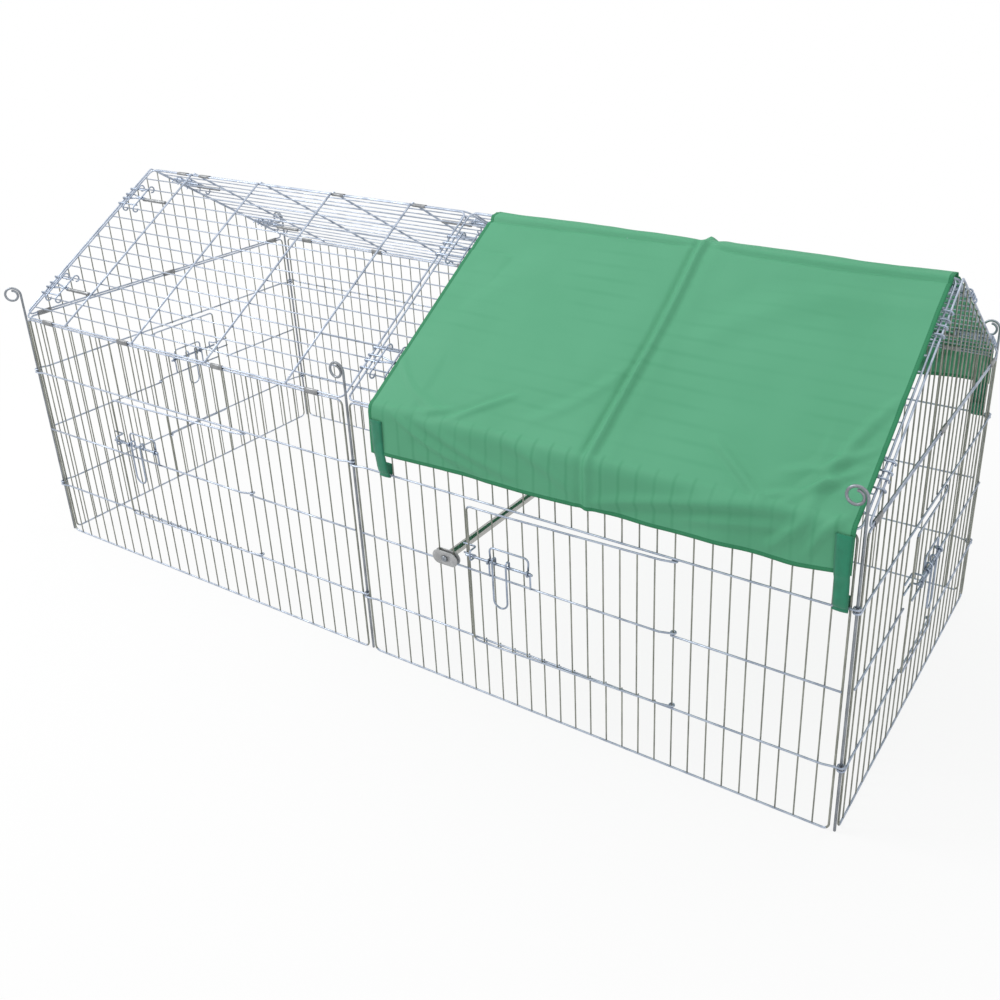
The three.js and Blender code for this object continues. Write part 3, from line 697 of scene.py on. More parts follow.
@dataclass(frozen=True)
class Frame:
    """The run's main sizes and the planes that follow from them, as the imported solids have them."""

    bay: float = 0.894
    depth: float = 0.738
    wall_top: float = 0.5032
    ridge: float = 0.7465
    rails: tuple[float, float, float] = (0.119, 0.253, 0.387)
    pitch: float = 0.0295
    edge: float = 0.020
    rod_to_frame: float = 0.0086
    rod_to_roof: float = 0.0052
    sleeve_pitch: float = 0.005
    play: float = 0.0003
    sink: float = 0.0002
    wires: Wires = field(default_factory=Wires)

    @property
    def rail_out(self) -> float:
        """How far the rails' centre lines lie outside the mesh."""
        return square_half(self.wires.frame) + square_half(self.wires.rail) - self.sink

    @property
    def rod_eye(self) -> float:
        """Radius of a rail's eye where it leaves the rail."""
        free = self.wires.rod / 2 + self.play + square_half(self.wires.rail)
        return free / math.cos(math.radians(36))

    @property
    def rod_in(self) -> float:
        """How far the rods stand inside a wall's mesh."""
        return self.rod_eye - self.rail_out

    @property
    def wall_plane(self) -> float:
        """Distance of the front and back walls from the middle."""
        return self.depth / 2 + self.rod_in

    @property
    def end_plane(self) -> float:
        """Distance of the end walls from the middle."""
        return self.bay + self.rod_in

    @property
    def eave(self) -> float:
        """Height of the roof's lowest wires."""
        return self.wall_top + self.sleeve_pitch

    @property
    def slope(self) -> tuple[float, float]:
        """A slope's rise and its run in plan."""
        return self.ridge - self.eave, self.wall_plane - self.sleeve_pitch / 2

    @property
    def slope_angle(self) -> float:
        """The roof's pitch, in radians."""
        return math.atan2(*self.slope)

    @property
    def slope_length(self) -> float:
        """A slope's length from eave wire to ridge wire."""
        return math.hypot(*self.slope)

    @property
    def roof_length(self) -> float:
        """A slope's length along the run."""
        return self.bay - 2 * self.rod_to_roof

    def posts(self, width: float) -> list[float]:
        """Places of the mesh wires across a frame of that width."""
        count = math.floor((width - 2 * self.edge) / self.pitch) + 1
        first = (width - (count - 1) * self.pitch) / 2
        return [first + i * self.pitch for i in range(count)]

    def wall_posts(self, span: float) -> list[float]:
        """Places of a wall's upright wires, from its left rod."""
        return [self.rod_to_frame + p for p in self.posts(span - 2 * self.rod_to_frame)]


FRAME = Frame()
WIRES = FRAME.wires


@dataclass(frozen=True)
class Doorway:
    """Where a door lies in its wall: its wires, its free side, and how far its bars rise to their eyes."""

    hinge_post: int
    edge: float
    eye_rise: float
    latch_post: int = 8

    def side(self, span: float) -> float:
        """The door's free side along the wall."""
        return FRAME.wall_posts(span)[self.latch_post - 1] + self.edge

    def hinge(self, span: float) -> float:
        """The hinge wire's place along the wall."""
        return FRAME.wall_posts(span)[self.hinge_post - 1]


class Door(Enum):
    """The two sizes of doorway."""

    FRONT = Doorway(21, 0.009, 0.0078)
    END = Doorway(15, 0.0245, 0.0)


# ---- Walls ----
@dataclass
class Wall:
    """A wall of upright wires in a bent frame, with three rails outside and eyes round the rods."""

    span: float
    door: Doorway | None
    sleeve_gaps: tuple[int, ...]
    frame_bend: float = 0.010
    eye_rise: float = 0.0029
    eye_tight: float = 0.0043
    eye_run: float = 0.018
    overhang: float = 0.0002
    end_weld: float = 0.00217
    sleeve_length: float = 0.031
    sleeve_wall: float = 0.0008

    def shape(self) -> Shape:
        """Draws the wall."""
        made = Shape()
        left = FRAME.rod_to_frame
        right = self.span - FRAME.rod_to_frame
        foot = WIRES.frame / 2
        corners = [wall_point(left, 0, foot), wall_point(right, 0, foot),
                   wall_point(right, 0, FRAME.wall_top), wall_point(left, 0, FRAME.wall_top)]
        ring = rounded(corners, self.frame_bend, closed=True)
        made.bent_frame(ring, WIRES.frame)
        self.draw_posts(made, foot)
        self.draw_rails(made, left, right)
        if self.door:
            self.draw_keeper(made)
        posts = FRAME.wall_posts(self.span)
        for gap in self.sleeve_gaps:
            middle = posts[gap - 1] + FRAME.pitch / 2
            near = wall_point(middle, 0, FRAME.wall_top)
            far = wall_point(middle, 0, FRAME.eave)
            made.sleeve(near, far, Vector((1, 0, 0)), self.sleeve_length, WIRES.frame / 2 + FRAME.play,
                        self.sleeve_wall)
        return made

    def draw_posts(self, made: Shape, foot: float) -> None:
        """Adds the upright wires and their welds."""
        low, _, high = FRAME.rails
        for number, along in enumerate(FRAME.wall_posts(self.span), start=1):
            open_here = self.door and self.door.latch_post < number < self.door.hinge_post
            stretches = [(foot, FRAME.wall_top)]
            if open_here:
                stretches = [(foot, low + WIRES.rail / 2 + self.overhang),
                             (high - WIRES.rail / 2 - self.overhang, FRAME.wall_top)]
            for start, end in stretches:
                # Upright wires take the darker zinc as painted shade.
                line = [wall_point(along, 0, start), wall_point(along, 0, end)]
                made.wire(line, WIRES.mesh, Coat.MESH)
            heights = [h for h in FRAME.rails if not (open_here and h == FRAME.rails[1])]
            for height in heights:
                made.weld(wall_point(along, FRAME.rail_out / 2, height), WIRES.mesh * WELD, Coat.SKY_LIT)

    def draw_rails(self, made: Shape, left: float, right: float) -> None:
        """Adds the long rails: the upper and lower end in eyes round the rods."""
        out = FRAME.rail_out
        for height in (FRAME.rails[0], FRAME.rails[2]):
            low = height - self.eye_rise
            high = height + self.eye_rise
            axis = -FRAME.rod_in
            curl = arc((0, axis), (self.eye_tight, FRAME.rod_eye), (392, 90), 20)
            start = [wall_point(u, o, low) for u, o in curl]
            end = [wall_point(self.span - u, o, high) for u, o in reversed(curl)]
            level = [wall_point(left, out, low), wall_point(left + self.eye_run, out, height),
                     wall_point(right - self.eye_run, out, height), wall_point(right, out, high)]
            # Level rails take the lighter zinc as painted sky reflection.
            made.wire([*start, *level, *end], WIRES.rail, Coat.SKY_LIT)
            for side in (left, right):
                rise = low if side == left else high
                made.weld(wall_point(side, out / 2, rise), self.end_weld, Coat.SKY_LIT)
        middle = FRAME.rails[1]
        stretches = [(left, right)]
        if self.door:
            posts = FRAME.wall_posts(self.span)
            stretches = [(left, posts[self.door.latch_post - 1] + WIRES.rail),
                         (posts[self.door.hinge_post - 1] - WIRES.rail, right)]
        for start, end in stretches:
            line = [wall_point(start - self.overhang, out, middle),
                    wall_point(end + self.overhang, out, middle)]
            made.wire(line, WIRES.rail, Coat.SKY_LIT)

    def draw_keeper(self, made: Shape) -> None:
        """Adds the bent wire that keeps the bolt."""
        latch = Latch(self.span, self.door)
        made.wire(latch.keeper_line(), WIRES.latch, Coat.LATCH)


# ---- Doors ----
@dataclass
class Latch:
    """The sliding bolt's sizes: its bracket on the door, its keeper on the wall, and its handle."""

    span: float
    door: Doorway
    middle_rise: float = 0.0045
    bolt_rise: float = 0.031
    bolt_length: float = 0.132
    keeper_reach: float = 0.012
    keeper_top: float = 0.042
    keeper_foot: float = 0.024
    keeper_tail: float = 0.005
    bracket_start: float = 0.046
    bracket_end: float = 0.123
    bracket_top: float = 0.056
    handle_start: float = 0.057
    handle_width: float = 0.027
    handle_drop: float = 0.048
    handle_rise: float = 0.005
    keeper_bend: float = 0.004
    bracket_bend: float = 0.008
    coil_steps: int = 22

    @property
    def door_out(self) -> float:
        """How far the door's own wires lie outside the wall's mesh."""
        return FRAME.rail_out + (WIRES.rail + WIRES.frame) / 2 + FRAME.play / 3

    @property
    def bar_out(self) -> float:
        """The same for the door's middle bar."""
        return self.door_out + square_half(WIRES.frame) + square_half(WIRES.rail) - 2 * FRAME.sink

    @property
    def bracket_out(self) -> float:
        """The same for the bracket."""
        return self.bar_out + square_half(WIRES.rail) + square_half(WIRES.latch) - FRAME.sink

    @property
    def ring(self) -> float:
        """Radius of the bracket's turns round the bolt."""
        return WIRES.bolt / 2 + FRAME.play + square_half(WIRES.latch)

    @property
    def bolt_out(self) -> float:
        """How far the bolt lies outside the wall's mesh."""
        return self.bracket_out + self.ring

    @property
    def keeper_out(self) -> float:
        """The same for the keeper's arms."""
        return square_half(WIRES.mesh) + square_half(WIRES.latch) - FRAME.sink

    @property
    def middle(self) -> float:
        """Height of the door's middle bar."""
        return FRAME.rails[1] + self.middle_rise

    @property
    def bolt_height(self) -> float:
        """Height of the bolt."""
        return self.middle + self.bolt_rise

    @property
    def handle_ring(self) -> float:
        """Radius of the handle's eyes round the bolt."""
        free = WIRES.bolt / 2 + FRAME.play + square_half(WIRES.latch)
        return free / math.cos(math.radians(36))

    def keeper_line(self) -> Path:
        """The keeper's centre line: two arms along the wall and a staple in front of the bolt."""
        post = FRAME.wall_posts(self.span)[self.door.latch_post - 1]
        reach = post + self.door.edge + self.keeper_reach
        tip = self.bolt_out + WIRES.bolt / 2 + FRAME.play + square_half(WIRES.latch)
        corners = []
        for rise in (self.keeper_top, self.keeper_foot):
            height = self.middle + rise
            arm = [wall_point(post - self.keeper_tail, self.keeper_out, height),
                   wall_point(reach, self.keeper_out, height), wall_point(reach, tip, height)]
            corners.extend(arm if rise == self.keeper_top else reversed(arm))
        return rounded(corners, self.keeper_bend)

    def bracket_line(self) -> Path:
        """The bracket's centre line: down from its top, once round the bolt, and on to the middle bar."""
        side = self.door.side(self.span)
        top = self.middle + self.bracket_top
        ends = (side + self.bracket_start, side + self.bracket_end)
        halves = []
        for along, outward in zip(ends, (-1, 1)):
            bolt = (self.bolt_out, self.bolt_height)
            turn = arc(bolt, (self.ring, self.ring), (180, -180), self.coil_steps)
            pitch = WIRES.latch * 1.02 / self.coil_steps
            middle = self.coil_steps // 2
            coil = [wall_point(along + outward * pitch * (i - middle), o, z) for i, (o, z) in enumerate(turn)]
            foot = [wall_point(along + outward * pitch * middle, self.bracket_out, self.middle)]
            halves.append([*coil, *foot])
        left, right = halves
        upper = rounded([left[0], wall_point(ends[0], self.bracket_out, top),
                         wall_point(ends[1], self.bracket_out, top), right[0]], self.bracket_bend)
        return [*reversed(left), *upper[1:-1], *right]

    def handle_line(self) -> Path:
        """The handle's centre line: an eye on the bolt, down, round its foot, and up to its other eye."""
        start = self.door.side(self.span) + self.handle_start
        end = start + self.handle_width
        out = self.bolt_out + self.handle_ring
        radius = self.handle_width / 2
        foot = self.middle - self.handle_drop
        ring = self.handle_ring
        over = arc((self.bolt_out, self.bolt_height + self.handle_rise), (ring * 0.96, ring), (180, 0), 12)
        curl = [*arc((self.bolt_out, self.bolt_height), (ring * 0.96, ring * 0.96), (262, 190), 6), *over]
        legs = arc((start + radius, foot + radius), (radius, radius), (180, 360), 14)
        rise = [wall_point(start, o, z) for o, z in curl]
        fall = [wall_point(end, o, z) for o, z in reversed(curl)]
        return [*rise, *(wall_point(u, out, z) for u, z in legs), *fall]


@dataclass
class DoorLeaf:
    """A door: a bent wire with eyes round its hinge wire, a middle bar, mesh wires and a bracket."""

    span: float
    door: Doorway
    top_drop: float = 0.013
    foot_drop: float = 0.004
    bend: float = 0.008
    corner_run: float = 0.05
    eye: float = 0.0036
    eye_run: float = 0.020
    eye_neck: float = 0.003
    eye_slack: float = 0.0006

    def bar(self, start: float, out: float, height: float, rise: float = 0.0) -> Path:
        """A bar from a place along the wall to its eye round the hinge wire, rising a little on the way."""
        hinge = self.door.hinge(self.span)
        high = height + rise * (hinge - start)
        curl = [wall_point(u, o, high) for u, o in arc((hinge, 0), (self.eye, self.eye), (90, -205), 18)]
        return [wall_point(start, out, height),
                wall_point(hinge - self.eye_run, out, high - rise * self.eye_run),
                wall_point(hinge - self.eye_neck, self.eye + self.eye_slack, high), *curl]

    def shape(self) -> Shape:
        """Draws the door with its bracket."""
        made = Shape()
        latch = Latch(self.span, self.door)
        side = self.door.side(self.span)
        top = FRAME.rails[2] - self.top_drop
        foot = FRAME.rails[0] - self.foot_drop
        out = latch.door_out
        near = side + self.corner_run
        rise = self.door.eye_rise / (self.door.hinge(self.span) - near)
        corners = rounded([wall_point(near, out, foot), wall_point(side, out, foot),
                           wall_point(side, out, top), wall_point(near, out, top)], self.bend)
        half = len(corners) // 4 + 1
        foot_bar = [*reversed(self.bar(near, out, foot, rise)), *corners[1:half + 1]]
        top_bar = [*corners[-half - 1:-1], *self.bar(near, out, top, rise)]
        # The level bars take the lighter zinc as painted sky reflection, the upright side the darker zinc as
        # painted shade.
        made.wire(foot_bar, WIRES.frame, Coat.SKY_LIT)
        made.wire(corners[half:-half], WIRES.frame, Coat.MESH, capped=False)
        made.wire(top_bar, WIRES.frame, Coat.SKY_LIT)
        made.wire(self.bar(side - 0.0005, latch.bar_out, latch.middle), WIRES.rail, Coat.SKY_LIT)
        for number, along in enumerate(FRAME.wall_posts(self.span), start=1):
            inside = self.door.latch_post < number < self.door.hinge_post
            if inside and along - side > FRAME.pitch / 2:
                up = rise * max(0.0, along - near)
                line = [wall_point(along, out, foot + up), wall_point(along, out, top + up)]
                made.wire(line, WIRES.mesh, Coat.MESH)
                joint = wall_point(along, (out + latch.bar_out) / 2, latch.middle)
                made.weld(joint, WIRES.mesh * WELD, Coat.SKY_LIT)
        made.wire(latch.bracket_line(), WIRES.latch, Coat.LATCH)
        return made

    def bolt(self) -> Shape:
        """Draws the bolt, a little flattened at its outer end."""
        made = Shape()
        latch = Latch(self.span, self.door)
        radius = WIRES.bolt / 2
        length = latch.bolt_length
        profile = [(radius * 0.55, 0.0), (radius * 0.9, 0.0008), (radius, 0.002), (radius, length - 0.006),
                   (radius * 1.04, length - 0.004), (radius * 1.04, length - 0.0012), (radius * 0.7, length)]
        start = wall_point(self.door.side(self.span), latch.bolt_out, latch.bolt_height)
        made.turned(profile, Matrix.Translation(start) @ Matrix.Rotation(math.pi / 2, 4, "Y"), Coat.LATCH, 16)
        return made

    def handle(self) -> Shape:
        """Draws the handle."""
        made = Shape()
        made.wire(Latch(self.span, self.door).handle_line(), WIRES.latch, Coat.LATCH)
        return made


# ---- Gables and roof ----
@dataclass
class Gable:
    """A triangle of upright wires that stands on an end wall."""

    bend: float = 0.006
    edge: float = 0.040

    def shape(self) -> Shape:
        """Draws the gable."""
        made = Shape()
        middle = FRAME.depth / 2
        reach = FRAME.wall_plane
        tilt = math.tan(FRAME.slope_angle)
        peak = FRAME.eave + reach * tilt
        corners = [wall_point(middle - reach, 0, FRAME.eave), wall_point(middle + reach, 0, FRAME.eave),
                   wall_point(middle, 0, peak)]
        # The frame takes the lighter zinc as painted sky reflection; the upright wires below take the darker
        # zinc as painted shade.
        made.wire(rounded(corners, self.bend, closed=True), WIRES.frame, Coat.SKY_LIT, closed=True)
        away = FRAME.pitch / 2
        while away < reach - self.edge - FRAME.pitch / 2:
            for side in (-1, 1):
                line = [wall_point(middle + side * away, 0, FRAME.eave),
                        wall_point(middle + side * away, 0, peak - away * tilt)]
                made.wire(line, WIRES.mesh, Coat.MESH)
            away += FRAME.pitch
        return made


@dataclass
class Slope:
    """A roof slope drawn flat: x along the run, y up the slope from its eave wire, z outward."""

    with_sleeves: bool
    bar_first: float = 0.1335
    bar_step: float = 0.206
    bend: float = 0.012
    sleeves: tuple[float, ...] = (0.100, 0.170, 0.562, 0.770)
    sleeve_length: float = 0.030
    sleeve_wall: float = 0.0008
    bar_past: float = 0.001

    def shape(self) -> Shape:
        """Draws the slope."""
        made = Shape()
        length, width = FRAME.roof_length, FRAME.slope_length
        corners = [Vector((x, y, 0)) for x, y in ((0, 0), (length, 0), (length, width), (0, width))]
        made.wire(rounded(corners, self.bend, closed=True), WIRES.frame, Coat.SKY_LIT, closed=True)
        out = square_half(WIRES.frame) + square_half(WIRES.bar) - FRAME.sink / 2
        bars = []
        place = self.bar_first
        while place < length - self.bar_first / 2:
            bars.append(place)
            place += self.bar_step
        for up in FRAME.posts(width):
            made.wire([Vector((0, up, 0)), Vector((length, up, 0))], WIRES.mesh, Coat.SKY_LIT)
            for along in bars:
                made.weld(Vector((along, up, out / 2)), WIRES.mesh * WELD, Coat.SKY_LIT)
        for along in bars:
            line = [Vector((along, y, out)) for y in (-self.bar_past, width + self.bar_past)]
            made.wire(line, WIRES.bar, Coat.SKY_LIT)
        if self.with_sleeves:
            level = Matrix.Rotation(-FRAME.slope_angle, 3, "X")
            for along in self.sleeves:
                near = Vector((along, width, 0))
                far = near + level @ Vector((0, FRAME.sleeve_pitch, 0))
                bore = WIRES.frame / 2 + FRAME.play
                made.sleeve(near, far, Vector((1, 0, 0)), self.sleeve_length, bore, self.sleeve_wall)
        return made


@dataclass
class RoofHook:
    """A sliding latch on three roof wires: two ringed bars, four claws and a crimped grip."""

    reach: float
    first_bar: float = 0.017
    second_bar: float = 0.050
    inner: float = 0.006
    outer: float = 0.022
    grip_start: float = 0.050
    grip_end: float = 0.121
    claw_turn: float = 150.0
    ring: float = 0.0052

    @property
    def prong_out(self) -> float:
        """How far the prongs lie outside the roof's wires."""
        step = math.radians(72.5 / 2)
        wide = square_half(WIRES.frame) * math.sqrt(2) + FRAME.play + square_half(WIRES.hook)
        return wide / math.cos(step)

    def shape(self) -> Shape:
        """Draws the hook from the roof's side wire at x = 0."""
        made = Shape()
        prong = self.prong_out
        bar_out = prong + 2 * square_half(WIRES.hook) - FRAME.sink
        pitch = FRAME.pitch
        for x in (self.first_bar, self.second_bar):
            curl = arc((pitch, 0), (bar_out, self.ring), (90, -150), 14)
            right = [Vector((x, y, z)) for y, z in curl]
            left = [Vector((x, -y, z)) for y, z in reversed(curl)]
            made.wire([*left, *right], WIRES.hook, Coat.LATCH)
        claw = arc((-self.reach, 0), (prong * 0.94, prong), (90 + self.claw_turn, 90), 12)
        for y in (-self.outer, self.outer):
            line = [Vector((x, y, z)) for x, z in claw]
            made.wire([*line, Vector((self.second_bar + 0.003, y, prong))], WIRES.hook, Coat.LATCH)
        for side in (-1, 1):
            line = [Vector((x, side * self.inner, z)) for x, z in claw]
            close = WIRES.hook / 2 + 0.0002
            line += [Vector((self.first_bar, side * self.inner, prong)),
                     Vector((self.second_bar - 0.012, side * close, prong)),
                     Vector((self.second_bar + 0.006, side * close, prong * 0.75))]
            made.wire(line, WIRES.hook, Coat.LATCH)
        self.draw_grip(made)
        return made

    def draw_grip(self, made: Shape) -> None:
        """Adds the crimped tube that slides on the middle wire."""
        bore = WIRES.mesh / 2 + 2 * FRAME.play
        outer = self.prong_out - square_half(WIRES.hook) + 0.0004
        length = self.grip_end - self.grip_start
        profile = [(bore, 0.0), (outer * 0.96, 0.0), (outer, 0.0005), (outer, length * 0.12),
                   (outer * 0.86, length * 0.16), (outer * 0.86, length * 0.2), (outer, length * 0.24),
                   (outer, length - 0.0005), (outer * 0.96, length), (bore, length)]
        turn = Matrix.Translation((self.grip_start, 0, 0)) @ Matrix.Rotation(math.pi / 2, 4, "Y")
        made.turned(profile, turn, Coat.SLEEVE, 16)


# ---- Rods and cross tube ----
@dataclass
class CornerRod:
    """A rod that drops through the walls' eyes, its top rolled into a scroll for a finger."""

    foot: float = 0.001
    scroll_height: float = 0.555
    radius: float = 0.016
    closing: float = 0.0056
    turns: float = 1.25

    def shape(self) -> Shape:
        """Draws the rod."""
        made = Shape()
        tight = self.radius - self.closing * self.turns
        scroll = arc((-self.radius, self.scroll_height), (self.radius, tight), (0, 360 * self.turns), 44)
        line = [Vector((0, 0, self.foot)), Vector((0, 0, self.scroll_height - 0.02))]
        made.wire([*line, *(Vector((x, 0, z)) for x, z in scroll)], WIRES.rod, Coat.ROD, sides=14)
        return made


@dataclass
class CrossTube:
    """The tube between front and back, clamped to the mesh by two plates and a screw at each end."""

    diameter: float = 0.015
    plate: tuple[float, float, float] = (0.052, 0.026, 0.002)
    screw: float = 0.006
    screw_head: tuple[float, float] = (0.011, 0.0035)
    screw_depth: float = 0.010
    thread_turns: int = 14
    recess_arm: tuple[float, float] = (0.0028, 0.0006)
    rise: float = 0.006
    post: int = 6

    @property
    def inner_out(self) -> float:
        """How far the inner plate's inner face lies outside the mesh."""
        return -(square_half(WIRES.mesh) + FRAME.play + self.plate[2])

    @property
    def outer_out(self) -> float:
        """How far the outer plate's inner face lies outside the mesh."""
        return FRAME.rail_out + square_half(WIRES.rail) + FRAME.play

    @property
    def axis(self) -> Vector:
        """The middle of the tube."""
        posts = FRAME.wall_posts(FRAME.bay)
        return Vector(((posts[self.post - 1] + posts[self.post]) / 2, 0, FRAME.rails[1] + self.rise))

    def tube(self) -> Shape:
        """Draws the tube along Y."""
        made = Shape()
        half = FRAME.wall_plane + self.inner_out - FRAME.play
        outer = self.diameter / 2
        profile = [(outer * 0.3, -half), (outer - 0.0006, -half), (outer, 0.0006 - half),
                   (outer, half - 0.0006), (outer - 0.0006, half), (outer * 0.3, half)]
        turn = Matrix.Translation(self.axis) @ Matrix.Rotation(-math.pi / 2, 4, "X")
        made.turned(profile, turn, Coat.TUBE, 40)
        return made

    def plate_shape(self) -> Shape:
        """Draws a pressed plate that faces +Z, from z = 0 up."""
        made = Shape()
        length, height, thick = self.plate
        radius = height / 2
        lip = 0.0005

        def outline(grow: float, z: float) -> np.ndarray:
            """The plate's edge, grown outward, at a height."""
            points = []
            for side, start in ((1, -90), (-1, 90)):
                centre = (side * (length / 2 - radius), 0)
                points += arc(centre, (radius + grow, radius + grow), (start, start + 180), 15)
            return np.array([(x, y, z) for x, y in points])

        hole = self.screw / 2 + FRAME.play
        angles = [math.atan2(y, x) for x, y, _ in outline(0, 0)]

        def bore(z: float) -> np.ndarray:
            """The hole's edge at a height, in step with the outline."""
            return np.array([(hole * math.cos(a), hole * math.sin(a), z) for a in angles])

        made.rings([bore(0), outline(-lip, 0), outline(0, lip), outline(0, thick - lip), outline(-lip, thick),
                    bore(thick)], Coat.PLATE, closed=True)
        return made

    def screw_shape(self) -> Shape:
        """Draws the screw with its head's face towards +Z and a cross recess."""
        made = Shape()
        head, tall = self.screw_head[0] / 2, self.screw_head[1]
        shank = self.outer_out + self.plate[2] - self.inner_out + 2 * FRAME.play + self.screw_depth
        thread = self.screw / 2
        profile = [(thread * 0.5, -shank), (thread * 0.9, 0.001 - shank)]
        threaded = shank - 0.003
        for i in range(self.thread_turns):
            low = -shank + 0.0015 + threaded * i / self.thread_turns
            profile += [(thread * 0.86, low), (thread, low + threaded / self.thread_turns / 2)]
        profile += [(thread * 0.86, -0.0004), (head * 0.97, 0.0), (head, 0.0004), (head * 0.95, tall * 0.45),
                    (head * 0.75, tall * 0.8), (head * 0.45, tall * 0.97), (head * 0.2, tall)]
        made.turned(profile, Matrix.Identity(4), Coat.ROD, 32)
        return made

    def recess(self, screw: bpy.types.Object, turn: Matrix) -> None:
        """Cuts the cross recess into a screw's head.

        Args:
            screw: The screw's object.
            turn: Where its head is.
        """
        cutter = Shape()
        tall = self.screw_head[1]
        long, wide = self.recess_arm
        corners = ((-long, -wide), (long, -wide), (long, wide), (-long, wide))
        for angle in (0, math.pi / 2):
            arm = []
            for z, shrink in ((tall - 0.0016, 0.4), (tall + 0.001, 1.0)):
                level = [Matrix.Rotation(angle, 3, "Z") @ Vector((x * shrink, y, z)) for x, y in corners]
                arm.append(np.array([tuple(p) for p in level]))
            cutter.rings(arm, Coat.ROD)
        tool = cutter.build("recess_cutter", turn)
        cut = screw.modifiers.new("recess", "BOOLEAN")
        cut.operation = "DIFFERENCE"
        cut.object = tool
        cut.use_self = True
        settle(screw)
        bpy.data.objects.remove(tool)


def add_map(piece: bpy.types.Object, name: str, places: np.ndarray) -> None:
    """Gives a piece a UV map from a place for each of its points.

    Args:
        piece: The piece.
        name: The map's name.
        places: The places, one row for each point.
    """
    numbers = np.zeros(len(piece.data.loops), dtype=np.int64)
    piece.data.loops.foreach_get("vertex_index", numbers)
    piece.data.uv_layers.new(name=name).data.foreach_set("uv", places[numbers].ravel())


def settle(piece: bpy.types.Object) -> None:
    """Applies a piece's modifiers to its mesh."""
    shown = piece.evaluated_get(bpy.context.evaluated_depsgraph_get())
    mesh = bpy.data.meshes.new_from_object(shown)
    piece.modifiers.clear()
    piece.data = mesh


# ---- Cover and straps ----
@dataclass(frozen=True)
class Bell:
    """A smooth swelling across a line in the cloth; a height below 0 is a hollow."""

    height: float
    middle: float
    width: float

    def at(self, places: np.ndarray) -> np.ndarray:
        """Its height at each place."""
        return self.height * np.exp(-((places - self.middle) / self.width) ** 2)


@dataclass(frozen=True)
class Fold:
    """A fold in the cover: from one place to another, along the run and down from the ridge."""

    start: tuple[float, float]
    end: tuple[float, float]
    height: float
    width: float
    bow: float = 0.0

    def lift(self, x: np.ndarray, down: np.ndarray) -> np.ndarray:
        """How far the fold lifts each place of the cloth.

        Args:
            x: Places along the run.
            down: Distances from the ridge.

        Returns:
            The lift of each place.
        """
        a = np.array(self.start)
        way = np.array(self.end) - a
        length = float(np.hypot(*way))
        way /= length
        along = (x - a[0]) * way[0] + (down - a[1]) * way[1]
        share = np.clip(along / length, 0, 1)
        off = (x - a[0]) * -way[1] + (down - a[1]) * way[0] - self.bow * np.sin(math.pi * share)
        fade = np.clip(1 - np.maximum(-along, along - length) / (self.width * 2.5), 0, 1) ** 2
        fade = np.where((along > 0) & (along < length), 1.0, fade)
        swell = np.sin(math.pi * np.clip(share * 0.86 + 0.07, 0, 1)) ** 0.6
        ridge = Bell(1.0, 0.0, self.width).at(off) + Bell(-0.35, self.width * 1.9, self.width).at(off)
        return self.height * fade * swell * ridge


